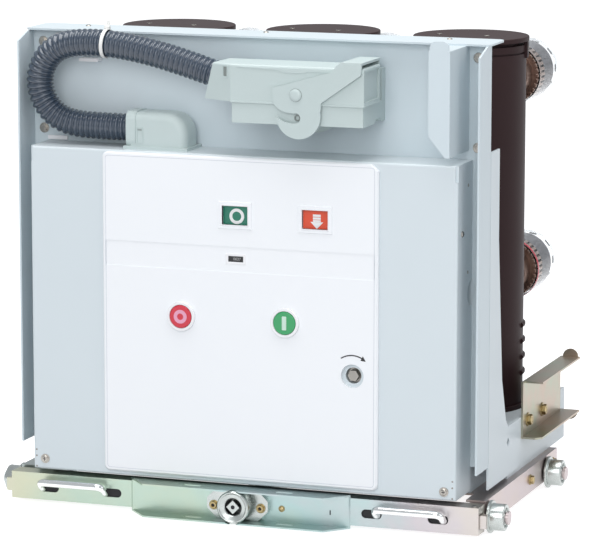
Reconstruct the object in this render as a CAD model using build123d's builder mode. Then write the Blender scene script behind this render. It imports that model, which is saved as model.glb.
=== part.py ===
import os
from math import pi, radians, tan

from build123d import *

# Three-pole indoor vacuum circuit breaker on a withdrawable truck, in millimetres.
# Origin at the middle of the footprint, +Z up, operating front towards -Y.

# driving sizes of the whole
overall_front_y = -330.0
phase_spacing = 210.0
phase_margin = 106.0
contact_spacing = 275.0
lower_contact_z = 262.0
cover_setback = 32.0
cover_y = overall_front_y + cover_setback
screen_width = 2 * (phase_spacing + phase_margin)
chassis_margin = 8.0
chassis_width = screen_width + 2 * chassis_margin

# front cover and moulded panel
cover_margin = 23.5
cover_width = screen_width - 2 * cover_margin
cover_depth = 65.0
cover_bottom_z = 48.0
cover_top_z = 480.0
cover_corner = 3.0
lid_groove = 1.6
lid_notch = 3.5
lid_notch_height = 21.0
side_hole_y = 62.0
side_hole_z = 309.0
side_hole_radius = 16.5
side_hole_depth = 24.0
panel_width = 378.0
panel_thickness = 6.0
panel_bottom_z = 54.5
panel_top_z = 478.0
panel_corner = 8.0
panel_bevel = 2.0
panel_clip = 9.0

# screen plate and top plate of the frame
screen_bottom_z = 80.0
sheet = 2.5
flange_depth = 50.0
frame_top_z = 629.0
flange_clip_rise = 11.0
flange_clip_run = 33.0
bend_radius = 4.0
top_overhang = 2.5
top_width = screen_width + 2 * top_overhang
top_front = 15.0
top_depth = 71.0
top_corner = 12.0
screen_y = cover_y + cover_depth

# side plates with their sight hole, measured back from the cover and up from the floor
side_plate_outline = [
    (cover_depth + sheet, 50.0),
    (206.0, 50.0),
    (206.0, 65.0),
    (147.0, 127.0),
    (127.0, 184.0),
    (106.0, 372.0),
    (106.0, 490.0),
    (cover_depth + sheet, 490.0),
]
side_plate_corner = 10.0
diamond_y = 158.0
diamond_z = 95.0
diamond_side = 9.0

# guard bracket at the upper right of the screen plate
guard_width = 28.0
guard_reach = 85.0
guard_margin = 29.0
guard_right_x = screen_width / 2 - guard_margin
guard_bottom_z = 492.0
guard_clip_rise = 27.0
guard_clip_run = 22.0
guard_sheet = 2.0
guard_tongue = 12.0
guard_tongue_inset = 1.5
guard_tongue_corner = 8.0

# housing behind the screen plate and the base under the poles
housing_margin = 25.0
housing_width = screen_width - 2 * housing_margin
housing_depth = 97.5
housing_top_z = 470.0
housing_corner = 6.0
base_width = screen_width - 2 * sheet
base_rear = 445.0
base_top_z = 107.0
base_cheek_top_z = 114.0
base_cheek = 5.0

# insulating poles
pole_setback = 327.0
pole_y = cover_y + pole_setback
pole_radius = 74.0
pole_bottom_z = base_top_z
pole_foot = 6.0
pole_foot_radius = 78.0
pole_top_z = 611.0
pole_disc_radius = 78.0
pole_disc = 6.0
pole_neck = 5.0
pole_neck_radius = 66.0
pole_collar = 9.0
pole_groove = 2.5
shed_rise = 3.0
shed_root = 1.0
pole_disc_edge = 1.5
shed_height = 9.0
shed_pitch = 21.8
shed_low_z = 154.0
shed_count = 4
boss_radius = 47.0
boss_reach = 92.0
mount_width = 96.0
mount_height = 60.0
mount_low_z = 190.0
mount_high_z = 400.0
mount_gap = 0.3

# contact arms, tulip contacts and clear covers
arm_flange_radius = 38.0
arm_flange = 8.0
hub_start = 165.0
hub_radius = 31.0
finger_start = 203.0
cap_start = 193.0
cap_end = 301.0
arm_radius = 26.0
tulip_radius = 36.0
tulip_bore = 27.0
finger_count = 18
finger_gap = 2.0
finger_length = 62.0
finger_tip = 4.0
finger_root = 12.0
tulip_floor = 6.0
tulip_mouth = 3.0
tulip_mouth_flare = 2.0
tulip_chamfer = 1.5
cap_grip = 4.0
band_radius = 38.4
band_width = 13.0
collar_radius = 40.2
collar_width = 8.0
cap_radius = 42.5
cap_wall = 2.0
cap_dome = 16.0

# truck: side rails, floor and racking nut
rail_height = 34.0
rail_bottom_z = 10.0
rail_depth = 27.0
rail_sheet = 3.0
rail_front = 32.0
rail_rear = 372.0
floor_sheet = 2.5
floor_front = cover_depth + 2.5
nut_front = 90.0
nut_length = 28.0
nut_width = 44.0
nut_height = 36.0

# wheels
wheel_tread_radius = 17.5
wheel_flange_radius = 21.5
wheel_flange = 4.0
wheel_width = 22.0
wheel_edge = 1.0
wheel_side_gap = 1.5
axle_radius = 6.0
axle_gap = 0.3
axle_head_radius = 9.0
axle_head = 3.0
front_wheel = 44.0
rear_wheel = 319.0

# moving cross-beam with its latches, bars and racking screw
beam_bottom_z = 6.0
beam_top_z = 42.0
beam_depth = 27.0
beam_sheet = 3.0
beam_front = -2.0
centre_width = 304.0
centre_reach = 30.0
centre_taper = 27.0
centre_bottom_z = 1.5
centre_top_z = 46.0
centre_sheet = 2.0
centre_slots = (-61.0, 66.0)
centre_slot_length = 24.0
centre_slot_width = 7.0
bar_gap = 1.2
bar_rear = 330.0
bar_inset = 3.0
bar_bolt_gap = 1.5
boss_plate_width = 84.0
boss_plate = 8.0
boss_plate_gap = 0.5
boss_plate_corner = 13.0
boss_ring_radius = 21.5
boss_ring_length = 8.0
boss_ring_bevel = 1.5
boss_lip = 2.5
boss_cup = 4.0
boss_cup_edge = 1.0
boss_barrel_radius = 17.5
boss_ring_bore = 11.5
boss_notch_gap = 1.2
racking_z = 23.75
screw_radius = 9.0
screw_gap = 0.4
screw_rear = 300.0
square_width = 12.7
square_length = 22.0
square_recess = 3.0
shoulder_length = 5.0
shoulder_gap = 0.5
bolt_height = 17.0
bolt_depth = 15.0
bolt_reach = 9.0
bolt_bevel = 8.0
bolt_tail = 13.5
latch_travel = 16.0
latch_z = 23.0
latch_gap = 1.0
handle_inner_x = 188.5
handle_outer_x = 278.0
handle_radius = 4.8
handle_bend = 8.0
handle_standoff = 16.0
handle_rise = 10.0
handle_leg = 4.0

# push buttons, indicators, counter and charging shaft on the panel
button_z = 267.0
trip_x = -79.0
close_x = 64.0
button_radius = 15.0
button_gap = 0.4
button_head = 15.0
button_proud = 4.5
button_travel = 8.0
button_overtravel = 1.0
button_edge = 1.2
collar_ring_radius = 19.3
collar_ring = 4.0
collar_edge = 0.8
stem_radius = 6.0
stem_length = 24.0
window_z = 403.0
position_x = -4.5
charge_x = 104.5
window_width = 35.0
window_height = 24.5
frame_width = 47.0
frame_height = 36.0
frame_rise = 1.5
frame_slant = 30
indicator = 2.0
counter_x = -4.0
counter_z = 346.0
counter_width = 20.5
counter_height = 7.5
band_width_margin = 4.0
band_bottom_z = 329.0
band_top_z = 362.0
band_depth = 0.8
charge_shaft_x = 155.0
charge_shaft_z = 203.0
charge_recess_radius = 15.4
charge_bore_radius = 10.6
hex_flats = 13.0
hex_proud = 2.0
hex_corners = 6
hex_shoulder_radius = 10.2
hex_length = 10.0
shaft_length = 24.0

# shutter-drive brackets on the sides of the base
bracket_front = 228.0
bracket_flange_front = 236.0
bracket_web_rear = 415.0
bracket_rear = 425.0
bracket_bottom_z = 85.0
bracket_top_z = 162.0
bracket_flange = 27.5
bracket_corner = 8.0
bracket_ear_radius = 10.8
bracket_ear_x = 14.0
bracket_sheet = 2.5

# secondary plug, its locking lever, the gland and the conduit
plug_left_x = -3.0
plug_right_x = 176.0
plug_nose_x = -36.0
plug_nose_stock = 12.0
plug_nose_front = -5.0
plug_front = -26.0
plug_rear = 40.0
plug_wall_front = 50.0
plug_wall_height = 68.0
plug_block_left = 48.0
plug_block_right = 24.0
plug_drop = 103.0
plug_base_height = 27.0
plug_height = 75.0
plug_bottom_z = frame_top_z - plug_drop
plug_split_z = plug_bottom_z + plug_base_height
plug_top_z = plug_bottom_z + plug_height
plug_corner = 3.0
plug_inset = 1.5
plug_window_margin = 5.0
plug_window_depth = 2.5
plug_arch_radius = 22.0
plug_arch_y = 36.0
plug_arch_rise = 6.0
lever_sheet = 3.8
lever_gap = 1.0
pivot_x = 86.5
pivot_rise = 39.0
pivot_z = plug_bottom_z + pivot_rise
pivot_radius = 8.0
pivot_head = 1.0
pivot_side_gap = 0.2
pin_radius = 5.0
pin_gap = 0.1
cam_x = pivot_x + 3.5
cam_z = pivot_z - 26.5
cam_radius = 29.5
lever_jaw_corner = 9.0
lever_bend_corner = 9.0
lever_tip_corner = 6.0
lever_waist_corner = 15.0
# outlines of the lever, measured from its pivot
lever_outline = [
    (-30.0, -17.0),
    (-31.0, 8.5),
    (-18.5, 11.5),
    (47.5, 30.8),
    (60.0, 43.5),
    (88.0, 43.5),
    (86.5, 28.0),
    (34.0, -9.0),
    (33.0, -26.5),
]
slot_end_radius = 6.3
lever_bridge = [
    (52.7, 37.2),
    (60.0, 43.5),
    (88.0, 43.5),
    (87.7, 40.3),
    (61.1, 40.3),
    (57.4, 37.2),
]
slot_upper_lip = [(-36.5, -3.0), (-29.0, -12.1), (-22.5, -18.7), (-11.8, -22.6), (1.0, -23.2)]
slot_lower_lip = [(1.0, -35.7), (-13.5, -34.8), (-22.5, -31.1), (-29.0, -27.3), (-36.5, -23.5)]
gland_left_x = -163.0
gland_right_x = -80.0
gland_collar = 13.0
gland_collar_step = 1.2
gland_front = 14.5
gland_rear = 61.0
gland_top_z = 528.0
gland_elbow = 28.0
gland_shoulder = 11.0
gland_flange = 4.0
gland_lip = 3.0
gland_mouth_z = 505.0
gland_mouth_y = cover_y + 38.0
hose_radius = 18.0
bend_share = 0.45
conduit_start = (gland_left_x, gland_mouth_y, gland_mouth_z)
conduit_points = [
    conduit_start,
    (-206.0, gland_mouth_y, gland_mouth_z),
    (-250.0, cover_y + 36.0, 507.0),
    (-276.0, cover_y + 34.0, 520.5),
    (-291.0, cover_y + 32.0, 546.0),
    (-291.0, cover_y + 30.0, 574.5),
    (-276.0, cover_y + 28.5, 600.0),
    (-250.5, cover_y + 27.0, 613.5),
    (-206.0, cover_y + 25.5, 616.5),
    (-154.0, cover_y + 23.5, 611.0),
    (-92.0, cover_y + 20.5, 597.5),
    (plug_nose_x, cover_y + 17.5, 581.0),
]


def save(piece, name):
    piece.label = name
    export_step(piece, f"parts/{name}.step")


def from_pivot(points):
    return [(pivot_x + x, pivot_z + z) for x, z in points]


def front_plane(y):
    # sketch plane facing the operator, local x to the right and local y up
    return Plane.XZ.offset(-y)


os.makedirs("parts", exist_ok=True)

# screen plate with forward side flanges, folded from one sheet
with BuildPart() as screen_plate:
    with BuildSketch(Plane.XY.offset(screen_bottom_z)):
        with Locations((0, screen_y + sheet - (flange_depth + sheet) / 2)):
            Rectangle(screen_width, flange_depth + sheet)
        with Locations((0, screen_y - flange_depth / 2)):
            Rectangle(screen_width - 2 * sheet, flange_depth, mode=Mode.SUBTRACT)
    extrude(amount=frame_top_z - sheet - screen_bottom_z)
    outer_bends = screen_plate.edges().filter_by(Axis.Z).sort_by(Axis.Y)[-2:]
    fillet(outer_bends, bend_radius / 2)
    flange_top_z = frame_top_z - sheet
    with BuildSketch(Plane.YZ.offset(-screen_width / 2)):
        with BuildLine():
            Polyline(
                (screen_y - flange_depth, flange_top_z),
                (screen_y - flange_depth + flange_clip_run, flange_top_z),
                (screen_y - flange_depth, flange_top_z - flange_clip_rise),
                close=True,
            )
        make_face()
    extrude(amount=screen_width, mode=Mode.SUBTRACT)
save(screen_plate.part, "screen_plate")

# top plate over the screen plate
with BuildPart() as top_plate:
    with BuildSketch(Plane.XY.offset(frame_top_z - sheet)) as top_outline:
        with Locations((0, screen_y - top_front + top_depth / 2)):
            Rectangle(top_width, top_depth)
        fillet(top_outline.vertices().group_by(Axis.Y)[-1], top_corner)
        chamfer(top_outline.vertices().group_by(Axis.Y)[0], bend_radius)
    extrude(amount=sheet)
save(top_plate.part, "top_plate")

# folded guard bracket, open to its left, with a slanted lower corner
with BuildPart() as guard_bracket:
    guard_front_y = screen_y - guard_reach
    guard_left_x = guard_right_x - guard_width
    guard_height = frame_top_z - sheet - guard_bottom_z
    with BuildSketch(Plane.XY.offset(guard_bottom_z)):
        with Locations(((guard_left_x + guard_right_x) / 2, screen_y - guard_reach / 2)):
            Rectangle(guard_width, guard_reach)
        hollow_x = (guard_left_x + guard_right_x - guard_sheet) / 2
        with Locations((hollow_x, screen_y - (guard_reach - guard_sheet) / 2)):
            Rectangle(guard_width - guard_sheet, guard_reach - guard_sheet, mode=Mode.SUBTRACT)
    extrude(amount=guard_height)
    with BuildSketch(Plane.XY.offset(frame_top_z - sheet)):
        with Locations(((guard_left_x + guard_right_x) / 2, screen_y - (guard_reach + top_front) / 2)):
            Rectangle(guard_width, guard_reach - top_front)
    extrude(amount=-guard_sheet)
    with BuildSketch(front_plane(guard_front_y)) as tongue_outline:
        with Locations(((guard_left_x + guard_right_x) / 2, frame_top_z - sheet)):
            Rectangle(guard_width - 2 * guard_tongue_inset, 2 * guard_tongue)
        fillet(tongue_outline.vertices().group_by(Axis.Z)[-1], guard_tongue_corner)
    extrude(amount=-guard_sheet)
    with BuildSketch(front_plane(guard_front_y)):
        with BuildLine():
            Polyline(
                (guard_left_x, guard_bottom_z),
                (guard_left_x + guard_clip_run, guard_bottom_z),
                (guard_left_x, guard_bottom_z + guard_clip_rise),
                close=True,
            )
        make_face()
    extrude(amount=-guard_sheet, mode=Mode.SUBTRACT)
save(guard_bracket.part, "guard_bracket")

# side plates: tall web behind the screen plate that widens to the base, with a diamond sight hole
with BuildPart() as side_plates:
    for side in (-1, 1):
        inner_x = side * (screen_width / 2 - sheet)
        with BuildSketch(Plane.YZ.offset(inner_x)) as side_outline:
            with BuildLine():
                Polyline([(cover_y + y, z) for y, z in side_plate_outline], close=True)
            make_face()
            fillet(side_outline.vertices().sort_by(Axis.Z)[-1:], side_plate_corner)
            with Locations((cover_y + diamond_y, diamond_z)):
                Rectangle(diamond_side, diamond_side, rotation=45, mode=Mode.SUBTRACT)
        extrude(amount=side * sheet)
save(side_plates.part, "side_plates")

# closed mechanism housing behind the screen plate, standing on the truck floor
rail_top_z = rail_bottom_z + rail_height
with BuildPart() as mechanism_housing:
    housing_rise = housing_top_z - rail_top_z
    with Locations((0, screen_y + sheet + housing_depth / 2, rail_top_z + housing_rise / 2)):
        Box(housing_width, housing_depth, housing_rise)
    fillet(mechanism_housing.edges().filter_by(Axis.Z).group_by(Axis.Y)[-1], housing_corner)
save(mechanism_housing.part, "mechanism_housing")

# front cover: closed sheet housing with a lid groove, button wells and the charging bore
button_rear_y = cover_y - panel_thickness - button_proud + button_head
head_well_y = button_rear_y + button_travel + button_overtravel
stem_well_y = head_well_y + stem_length
hex_front_y = cover_y - hex_proud
shaft_rear_y = hex_front_y + hex_length + shaft_length
with BuildPart() as front_cover:
    cover_rise = cover_top_z - cover_bottom_z
    with Locations((0, cover_y + cover_depth / 2, cover_bottom_z + cover_rise / 2)):
        Box(cover_width, cover_depth, cover_rise)
    front_edges = front_cover.faces().sort_by(Axis.Y)[0].edges()
    fillet(front_edges, cover_corner)
    with Locations((0, screen_y - lid_groove / 2, cover_top_z)):
        Box(cover_width, lid_groove, 2 * lid_groove, mode=Mode.SUBTRACT)
    for side in (-1, 1):
        with Locations((side * cover_width / 2, cover_y, cover_top_z)):
            Box(2 * lid_notch, 2 * lid_notch, 2 * lid_notch_height, mode=Mode.SUBTRACT)
        with BuildSketch(Plane.YZ.offset(side * cover_width / 2)):
            with Locations((cover_y + side_hole_y, side_hole_z)):
                Circle(side_hole_radius)
        extrude(amount=-side * side_hole_depth, mode=Mode.SUBTRACT)
    for x in (trip_x, close_x):
        with BuildSketch(front_plane(cover_y)):
            with Locations((x, button_z)):
                Circle(button_radius + button_gap)
        extrude(amount=-(head_well_y - cover_y), mode=Mode.SUBTRACT)
        with BuildSketch(front_plane(head_well_y)):
            with Locations((x, button_z)):
                Circle(stem_radius + button_gap)
        extrude(amount=-(stem_well_y - head_well_y), mode=Mode.SUBTRACT)
    with BuildSketch(front_plane(cover_y)):
        with Locations((charge_shaft_x, charge_shaft_z)):
            Circle(charge_bore_radius)
    extrude(amount=-(shaft_rear_y + button_gap - cover_y), mode=Mode.SUBTRACT)
save(front_cover.part, "front_cover")

# raised moulded panel with bevelled rim, framed windows, a shallow label band and round openings
panel_face_y = cover_y - panel_thickness
with BuildPart() as front_panel:
    panel_rise = panel_top_z - panel_bottom_z
    with BuildSketch(front_plane(cover_y)) as panel_outline:
        with Locations((0, panel_bottom_z + panel_rise / 2)):
            Rectangle(panel_width, panel_rise)
        corners = panel_outline.vertices()
        lower_right = corners.group_by(Axis.Z)[0].sort_by(Axis.X)[-1]
        fillet([corner for corner in corners if corner != lower_right], panel_corner)
        chamfer(panel_outline.vertices().group_by(Axis.Z)[0].sort_by(Axis.X)[-1:], panel_clip)
    extrude(amount=panel_thickness)
    chamfer(front_panel.faces().sort_by(Axis.Y)[0].edges(), panel_bevel)
    for x in (position_x, charge_x):
        with BuildSketch(front_plane(panel_face_y)):
            with Locations((x, window_z)):
                Rectangle(frame_width, frame_height)
        extrude(amount=frame_rise, taper=frame_slant)
        with BuildSketch(front_plane(cover_y)):
            with Locations((x, window_z)):
                Rectangle(window_width, window_height)
        extrude(amount=panel_thickness + frame_rise, mode=Mode.SUBTRACT)
    with BuildSketch(front_plane(panel_face_y)):
        with Locations((0, (band_bottom_z + band_top_z) / 2)):
            Rectangle(panel_width - 2 * band_width_margin, band_top_z - band_bottom_z)
    extrude(amount=-band_depth, mode=Mode.SUBTRACT)
    with BuildSketch(front_plane(cover_y)):
        with Locations((counter_x, counter_z)):
            Rectangle(counter_width, counter_height)
        with Locations((trip_x, button_z), (close_x, button_z)):
            Circle(button_radius + button_gap)
        with Locations((charge_shaft_x, charge_shaft_z)):
            Circle(charge_recess_radius)
    extrude(amount=panel_thickness, mode=Mode.SUBTRACT)
save(front_panel.part, "front_panel")

# indicator plates and counter, seated in the panel's windows
for x, name in ((position_x, "position_indicator"), (charge_x, "charge_indicator")):
    with BuildPart() as indicator_plate:
        with BuildSketch(front_plane(cover_y)):
            with Locations((x, window_z)):
                Rectangle(window_width, window_height)
        extrude(amount=indicator)
    save(indicator_plate.part, name)
with BuildPart() as operation_counter:
    with BuildSketch(front_plane(cover_y)):
        with Locations((counter_x, counter_z)):
            Rectangle(counter_width, counter_height)
    extrude(amount=panel_thickness - band_depth)
save(operation_counter.part, "operation_counter")

# round collars that guard the two push buttons
with BuildPart() as button_collars:
    with BuildSketch(front_plane(panel_face_y)):
        with Locations((trip_x, button_z), (close_x, button_z)):
            Circle(collar_ring_radius)
            Circle(button_radius + button_gap, mode=Mode.SUBTRACT)
    extrude(amount=collar_ring)
    collar_rims = button_collars.faces().sort_by(Axis.Y)[:2].edges()
    fillet(collar_rims, collar_edge)
save(button_collars.part, "button_collars")

# push buttons with their stems
for x, name in ((trip_x, "trip_button"), (close_x, "close_button")):
    with BuildPart() as button:
        with BuildSketch(front_plane(button_rear_y)):
            with Locations((x, button_z)):
                Circle(button_radius)
        extrude(amount=button_head)
        fillet(button.faces().sort_by(Axis.Y)[0].edges(), button_edge)
        with BuildSketch(front_plane(button_rear_y)):
            with Locations((x, button_z)):
                Circle(stem_radius)
        extrude(amount=-stem_length)
    save(button.part, name)

# hand-charging shaft with a hexagon end, turned by a crank
with BuildPart() as charging_shaft:
    with BuildSketch(front_plane(hex_front_y + hex_length)):
        with Locations((charge_shaft_x, charge_shaft_z)):
            RegularPolygon(hex_flats / 2, hex_corners, major_radius=False)
    extrude(amount=hex_length)
    with BuildSketch(front_plane(hex_front_y + hex_length)):
        with Locations((charge_shaft_x, charge_shaft_z)):
            Circle(hex_shoulder_radius)
    extrude(amount=-shaft_length)
save(charging_shaft.part, "charging_shaft")

# base under the poles, with raised cheeks along its sides
with BuildPart() as base_frame:
    base_front_y = screen_y + sheet + housing_depth
    base_depth = base_rear - (base_front_y - cover_y)
    base_mid_y = base_front_y + base_depth / 2
    with Locations((0, base_mid_y, (rail_top_z + base_top_z) / 2)):
        Box(base_width, base_depth, base_top_z - rail_top_z)
    for side in (-1, 1):
        cheek_x = side * (base_width - base_cheek) / 2
        with Locations((cheek_x, base_mid_y, (base_cheek_top_z + rail_top_z) / 2)):
            Box(base_cheek, base_depth, base_cheek_top_z - rail_top_z)
save(base_frame.part, "base_frame")

# insulating pole: cylinder with foot, collar groove, rear sheds and two terminal bosses
# its turning seam lies at the front, away from where the sheds end
pole_body_top_z = pole_top_z - pole_disc - pole_neck
contact_heights = (lower_contact_z, lower_contact_z + contact_spacing)
with BuildPart() as pole:
    with BuildSketch(Plane.XZ.rotated((0, 0, -90))):
        with BuildLine():
            Polyline(
                (0, pole_bottom_z),
                (pole_foot_radius, pole_bottom_z),
                (pole_foot_radius, pole_bottom_z + pole_foot),
                (pole_radius, pole_bottom_z + pole_foot),
                (pole_radius, pole_body_top_z - pole_collar - pole_groove),
                (pole_radius - pole_groove, pole_body_top_z - pole_collar - pole_groove),
                (pole_radius - pole_groove, pole_body_top_z - pole_collar),
                (pole_radius, pole_body_top_z - pole_collar),
                (pole_radius, pole_body_top_z),
                (0, pole_body_top_z),
                close=True,
            )
        make_face()
    revolve(axis=Axis.Z)
    for step in range(shed_count):
        shed_z = shed_low_z + step * shed_pitch
        with BuildSketch(Plane.XZ):
            with BuildLine():
                Polyline(
                    (pole_radius - shed_root, shed_z - shed_height / 2),
                    (pole_radius + shed_rise, shed_z - shed_height / 6),
                    (pole_radius + shed_rise, shed_z + shed_height / 6),
                    (pole_radius - shed_root, shed_z + shed_height / 2),
                    close=True,
                )
            make_face()
        revolve(axis=Axis.Z, revolution_arc=180)
    for height in contact_heights:
        with BuildSketch(Plane.XZ):
            with Locations((0, height)):
                Circle(boss_radius)
        extrude(amount=-boss_reach)

# mounting blocks that hold a pole to the housing, hollowed to its barrel
with BuildPart() as mount_pair:
    block_depth = pole_y - (screen_y + sheet + housing_depth)
    for height in (mount_low_z, mount_high_z):
        with Locations((0, -block_depth / 2, height)):
            Box(mount_width, block_depth, mount_height)
    with Locations((0, 0, (mount_low_z + mount_high_z) / 2)):
        Cylinder(pole_radius + mount_gap, mount_high_z, mode=Mode.SUBTRACT)

# top disc on a narrower neck
with BuildPart() as pole_disc_part:
    with BuildSketch(Plane.XY.offset(pole_body_top_z)):
        Circle(pole_neck_radius)
    extrude(amount=pole_neck)
    with BuildSketch(Plane.XY.offset(pole_body_top_z + pole_neck)):
        Circle(pole_disc_radius)
    extrude(amount=pole_disc)
    fillet(pole_disc_part.faces().sort_by(Axis.Z)[-1].edges(), pole_disc_edge)

# contact arm and tulip contact, drawn along +Z from the pole axis
tulip_end = finger_start + finger_length
slot_depth = tulip_radius - tulip_bore + finger_tip
with BuildPart() as arm:
    with BuildSketch(Plane.XZ):
        with BuildLine():
            Polyline(
                (0, boss_reach),
                (arm_flange_radius, boss_reach),
                (arm_flange_radius, boss_reach + arm_flange),
                (arm_radius, boss_reach + arm_flange),
                (arm_radius, hub_start),
                (hub_radius, hub_start),
                (hub_radius, cap_start + cap_grip),
                (collar_radius, cap_start + cap_grip),
                (collar_radius, cap_start + cap_grip + collar_width),
                (tulip_radius, cap_start + cap_grip + collar_width),
                (tulip_radius, tulip_end - band_width - finger_tip),
                (band_radius, tulip_end - band_width - finger_tip),
                (band_radius, tulip_end - finger_tip),
                (tulip_radius, tulip_end - finger_tip),
                (tulip_radius - tulip_chamfer, tulip_end),
                (tulip_bore + tulip_mouth_flare, tulip_end),
                (tulip_bore, tulip_end - tulip_mouth),
                (tulip_bore, finger_start + tulip_floor),
                (0, finger_start + tulip_floor),
                close=True,
            )
        make_face()
    revolve(axis=Axis.Z)
    with BuildSketch(Plane.XY.offset(tulip_end)):
        with PolarLocations((tulip_bore + tulip_radius) / 2, finger_count):
            Rectangle(slot_depth, finger_gap)
    extrude(amount=-finger_tip, mode=Mode.SUBTRACT)
    with BuildSketch(Plane.XY.offset(tulip_end - finger_tip - band_width)):
        with PolarLocations((tulip_bore + tulip_radius) / 2, finger_count):
            Rectangle(slot_depth, finger_gap)
    extrude(amount=-(finger_length - finger_tip - finger_root - band_width), mode=Mode.SUBTRACT)

# clear cover over a tulip contact, gripping the collar of the arm
with BuildPart() as cap:
    with BuildSketch(Plane.XY.offset(cap_start)):
        Circle(cap_radius)
    extrude(amount=cap_end - cap_start)
    fillet(cap.faces().sort_by(Axis.Z)[-1].edges(), cap_dome)
    offset(amount=-cap_wall, openings=cap.faces().sort_by(Axis.Z)[0])

pole_places = (-phase_spacing, 0.0, phase_spacing)
for x, phase in zip(pole_places, ("left", "centre", "right")):
    save(pole.part.moved(Location((x, pole_y, 0))), f"pole_{phase}")
save(Compound([mount_pair.part.moved(Location((x, pole_y, 0))) for x in pole_places]), "pole_mounts")
save(Compound([pole_disc_part.part.moved(Location((x, pole_y, 0))) for x in pole_places]), "pole_caps")
for height, level in zip(contact_heights, ("lower", "upper")):
    places = [Location((x, pole_y, height), (-90, 0, 0)) for x in pole_places]
    save(Compound([arm.part.moved(place) for place in places]), f"{level}_contacts")
    save(Compound([cap.part.moved(place) for place in places]), f"{level}_contact_covers")

# truck side rails: inward channels that carry the wheel axles
wheel_z = wheel_flange_radius
rail_outer_x = chassis_width / 2
wheel_inner_x = rail_outer_x + wheel_side_gap
wheel_outer_x = wheel_inner_x + wheel_width
axle_end_x = wheel_outer_x + wheel_side_gap
with BuildPart() as side_rails:
    for side in (-1, 1):
        with BuildSketch(front_plane(cover_y + rail_front)):
            rail_mid_z = rail_bottom_z + rail_height / 2
            with Locations((side * (rail_outer_x - rail_depth / 2), rail_mid_z)):
                Rectangle(rail_depth, rail_height)
            with Locations((side * (rail_outer_x - rail_sheet - rail_depth / 2), rail_mid_z)):
                Rectangle(rail_depth, rail_height - 2 * rail_sheet, mode=Mode.SUBTRACT)
        extrude(amount=-(rail_rear - rail_front))
        for along in (front_wheel, rear_wheel):
            with BuildSketch(Plane.YZ.offset(side * rail_outer_x)):
                with Locations((cover_y + along, wheel_z)):
                    Circle(axle_radius)
            extrude(amount=side * (axle_end_x - rail_outer_x))
            with BuildSketch(Plane.YZ.offset(side * axle_end_x)):
                with Locations((cover_y + along, wheel_z)):
                    Circle(axle_head_radius)
            extrude(amount=side * axle_head)
save(side_rails.part, "side_rails")

# flanged wheels
for side, side_name in ((-1, "left"), (1, "right")):
    for along, end_name in ((front_wheel, "front"), (rear_wheel, "rear")):
        with BuildPart() as wheel:
            with BuildSketch(Plane.XY):
                with BuildLine():
                    Polyline(
                        (wheel_inner_x, axle_radius + axle_gap),
                        (wheel_inner_x, wheel_flange_radius),
                        (wheel_inner_x + wheel_flange, wheel_flange_radius),
                        (wheel_inner_x + wheel_flange, wheel_tread_radius),
                        (wheel_outer_x - wheel_edge, wheel_tread_radius),
                        (wheel_outer_x, wheel_tread_radius - wheel_edge),
                        (wheel_outer_x, axle_radius + axle_gap),
                        close=True,
                    )
                make_face()
            revolve(axis=Axis.X)
        turned = wheel.part if side > 0 else wheel.part.mirror(Plane.YZ)
        save(turned.moved(Location((0, cover_y + along, wheel_z))), f"wheel_{end_name}_{side_name}")

# truck floor with a folded rear lip, and the nut of the racking screw under it
rail_inner_x = rail_outer_x - rail_depth
with BuildPart() as truck_floor:
    with BuildSketch(Plane.YZ.offset(-rail_inner_x)):
        with BuildLine():
            Polyline(
                (cover_y + floor_front, rail_top_z),
                (cover_y + rail_rear, rail_top_z),
                (cover_y + rail_rear, rail_bottom_z),
                (cover_y + rail_rear - floor_sheet, rail_bottom_z),
                (cover_y + rail_rear - floor_sheet, rail_top_z - floor_sheet),
                (cover_y + floor_front, rail_top_z - floor_sheet),
                close=True,
            )
        make_face()
    extrude(amount=2 * rail_inner_x)
save(truck_floor.part, "truck_floor")
with BuildPart() as racking_nut:
    nut_top_z = rail_top_z - floor_sheet
    with BuildSketch(front_plane(cover_y + nut_front)):
        with Locations((0, nut_top_z - nut_height / 2)):
            Rectangle(nut_width, nut_height)
        with Locations((0, racking_z)):
            Circle(screw_radius + screw_gap, mode=Mode.SUBTRACT)
    extrude(amount=-nut_length)
save(racking_nut.part, "racking_nut")

# moving front beam: rear-facing channel with slots for the handles and holes for the latch bolts
beam_y = cover_y + beam_front
beam_rise = beam_top_z - beam_bottom_z
slot_end = handle_radius + latch_gap
with BuildPart() as front_beam:
    with Locations((0, beam_y + beam_depth / 2, beam_bottom_z + beam_rise / 2)):
        Box(chassis_width, beam_depth, beam_rise)
    with Locations((0, beam_y + beam_sheet + beam_depth / 2, beam_bottom_z + beam_rise / 2)):
        Box(chassis_width - 2 * beam_sheet, beam_depth, beam_rise - 2 * beam_sheet, mode=Mode.SUBTRACT)
    with BuildSketch(front_plane(beam_y)):
        for side in (-1, 1):
            for x in (handle_inner_x, handle_outer_x):
                with Locations((side * (x - latch_travel / 2), latch_z)):
                    SlotOverall(latch_travel + 2 * slot_end, 2 * slot_end)
        with Locations((0, racking_z)):
            Circle(screw_radius + screw_gap)
    extrude(amount=-beam_sheet, mode=Mode.SUBTRACT)
    bolt_mid_y = beam_y + beam_sheet + latch_gap + bolt_depth / 2
    with Locations((0, bolt_mid_y, latch_z)):
        Box(chassis_width, bolt_depth + 2 * latch_gap, bolt_height + 2 * latch_gap, mode=Mode.SUBTRACT)
save(front_beam.part, "front_beam")

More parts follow.
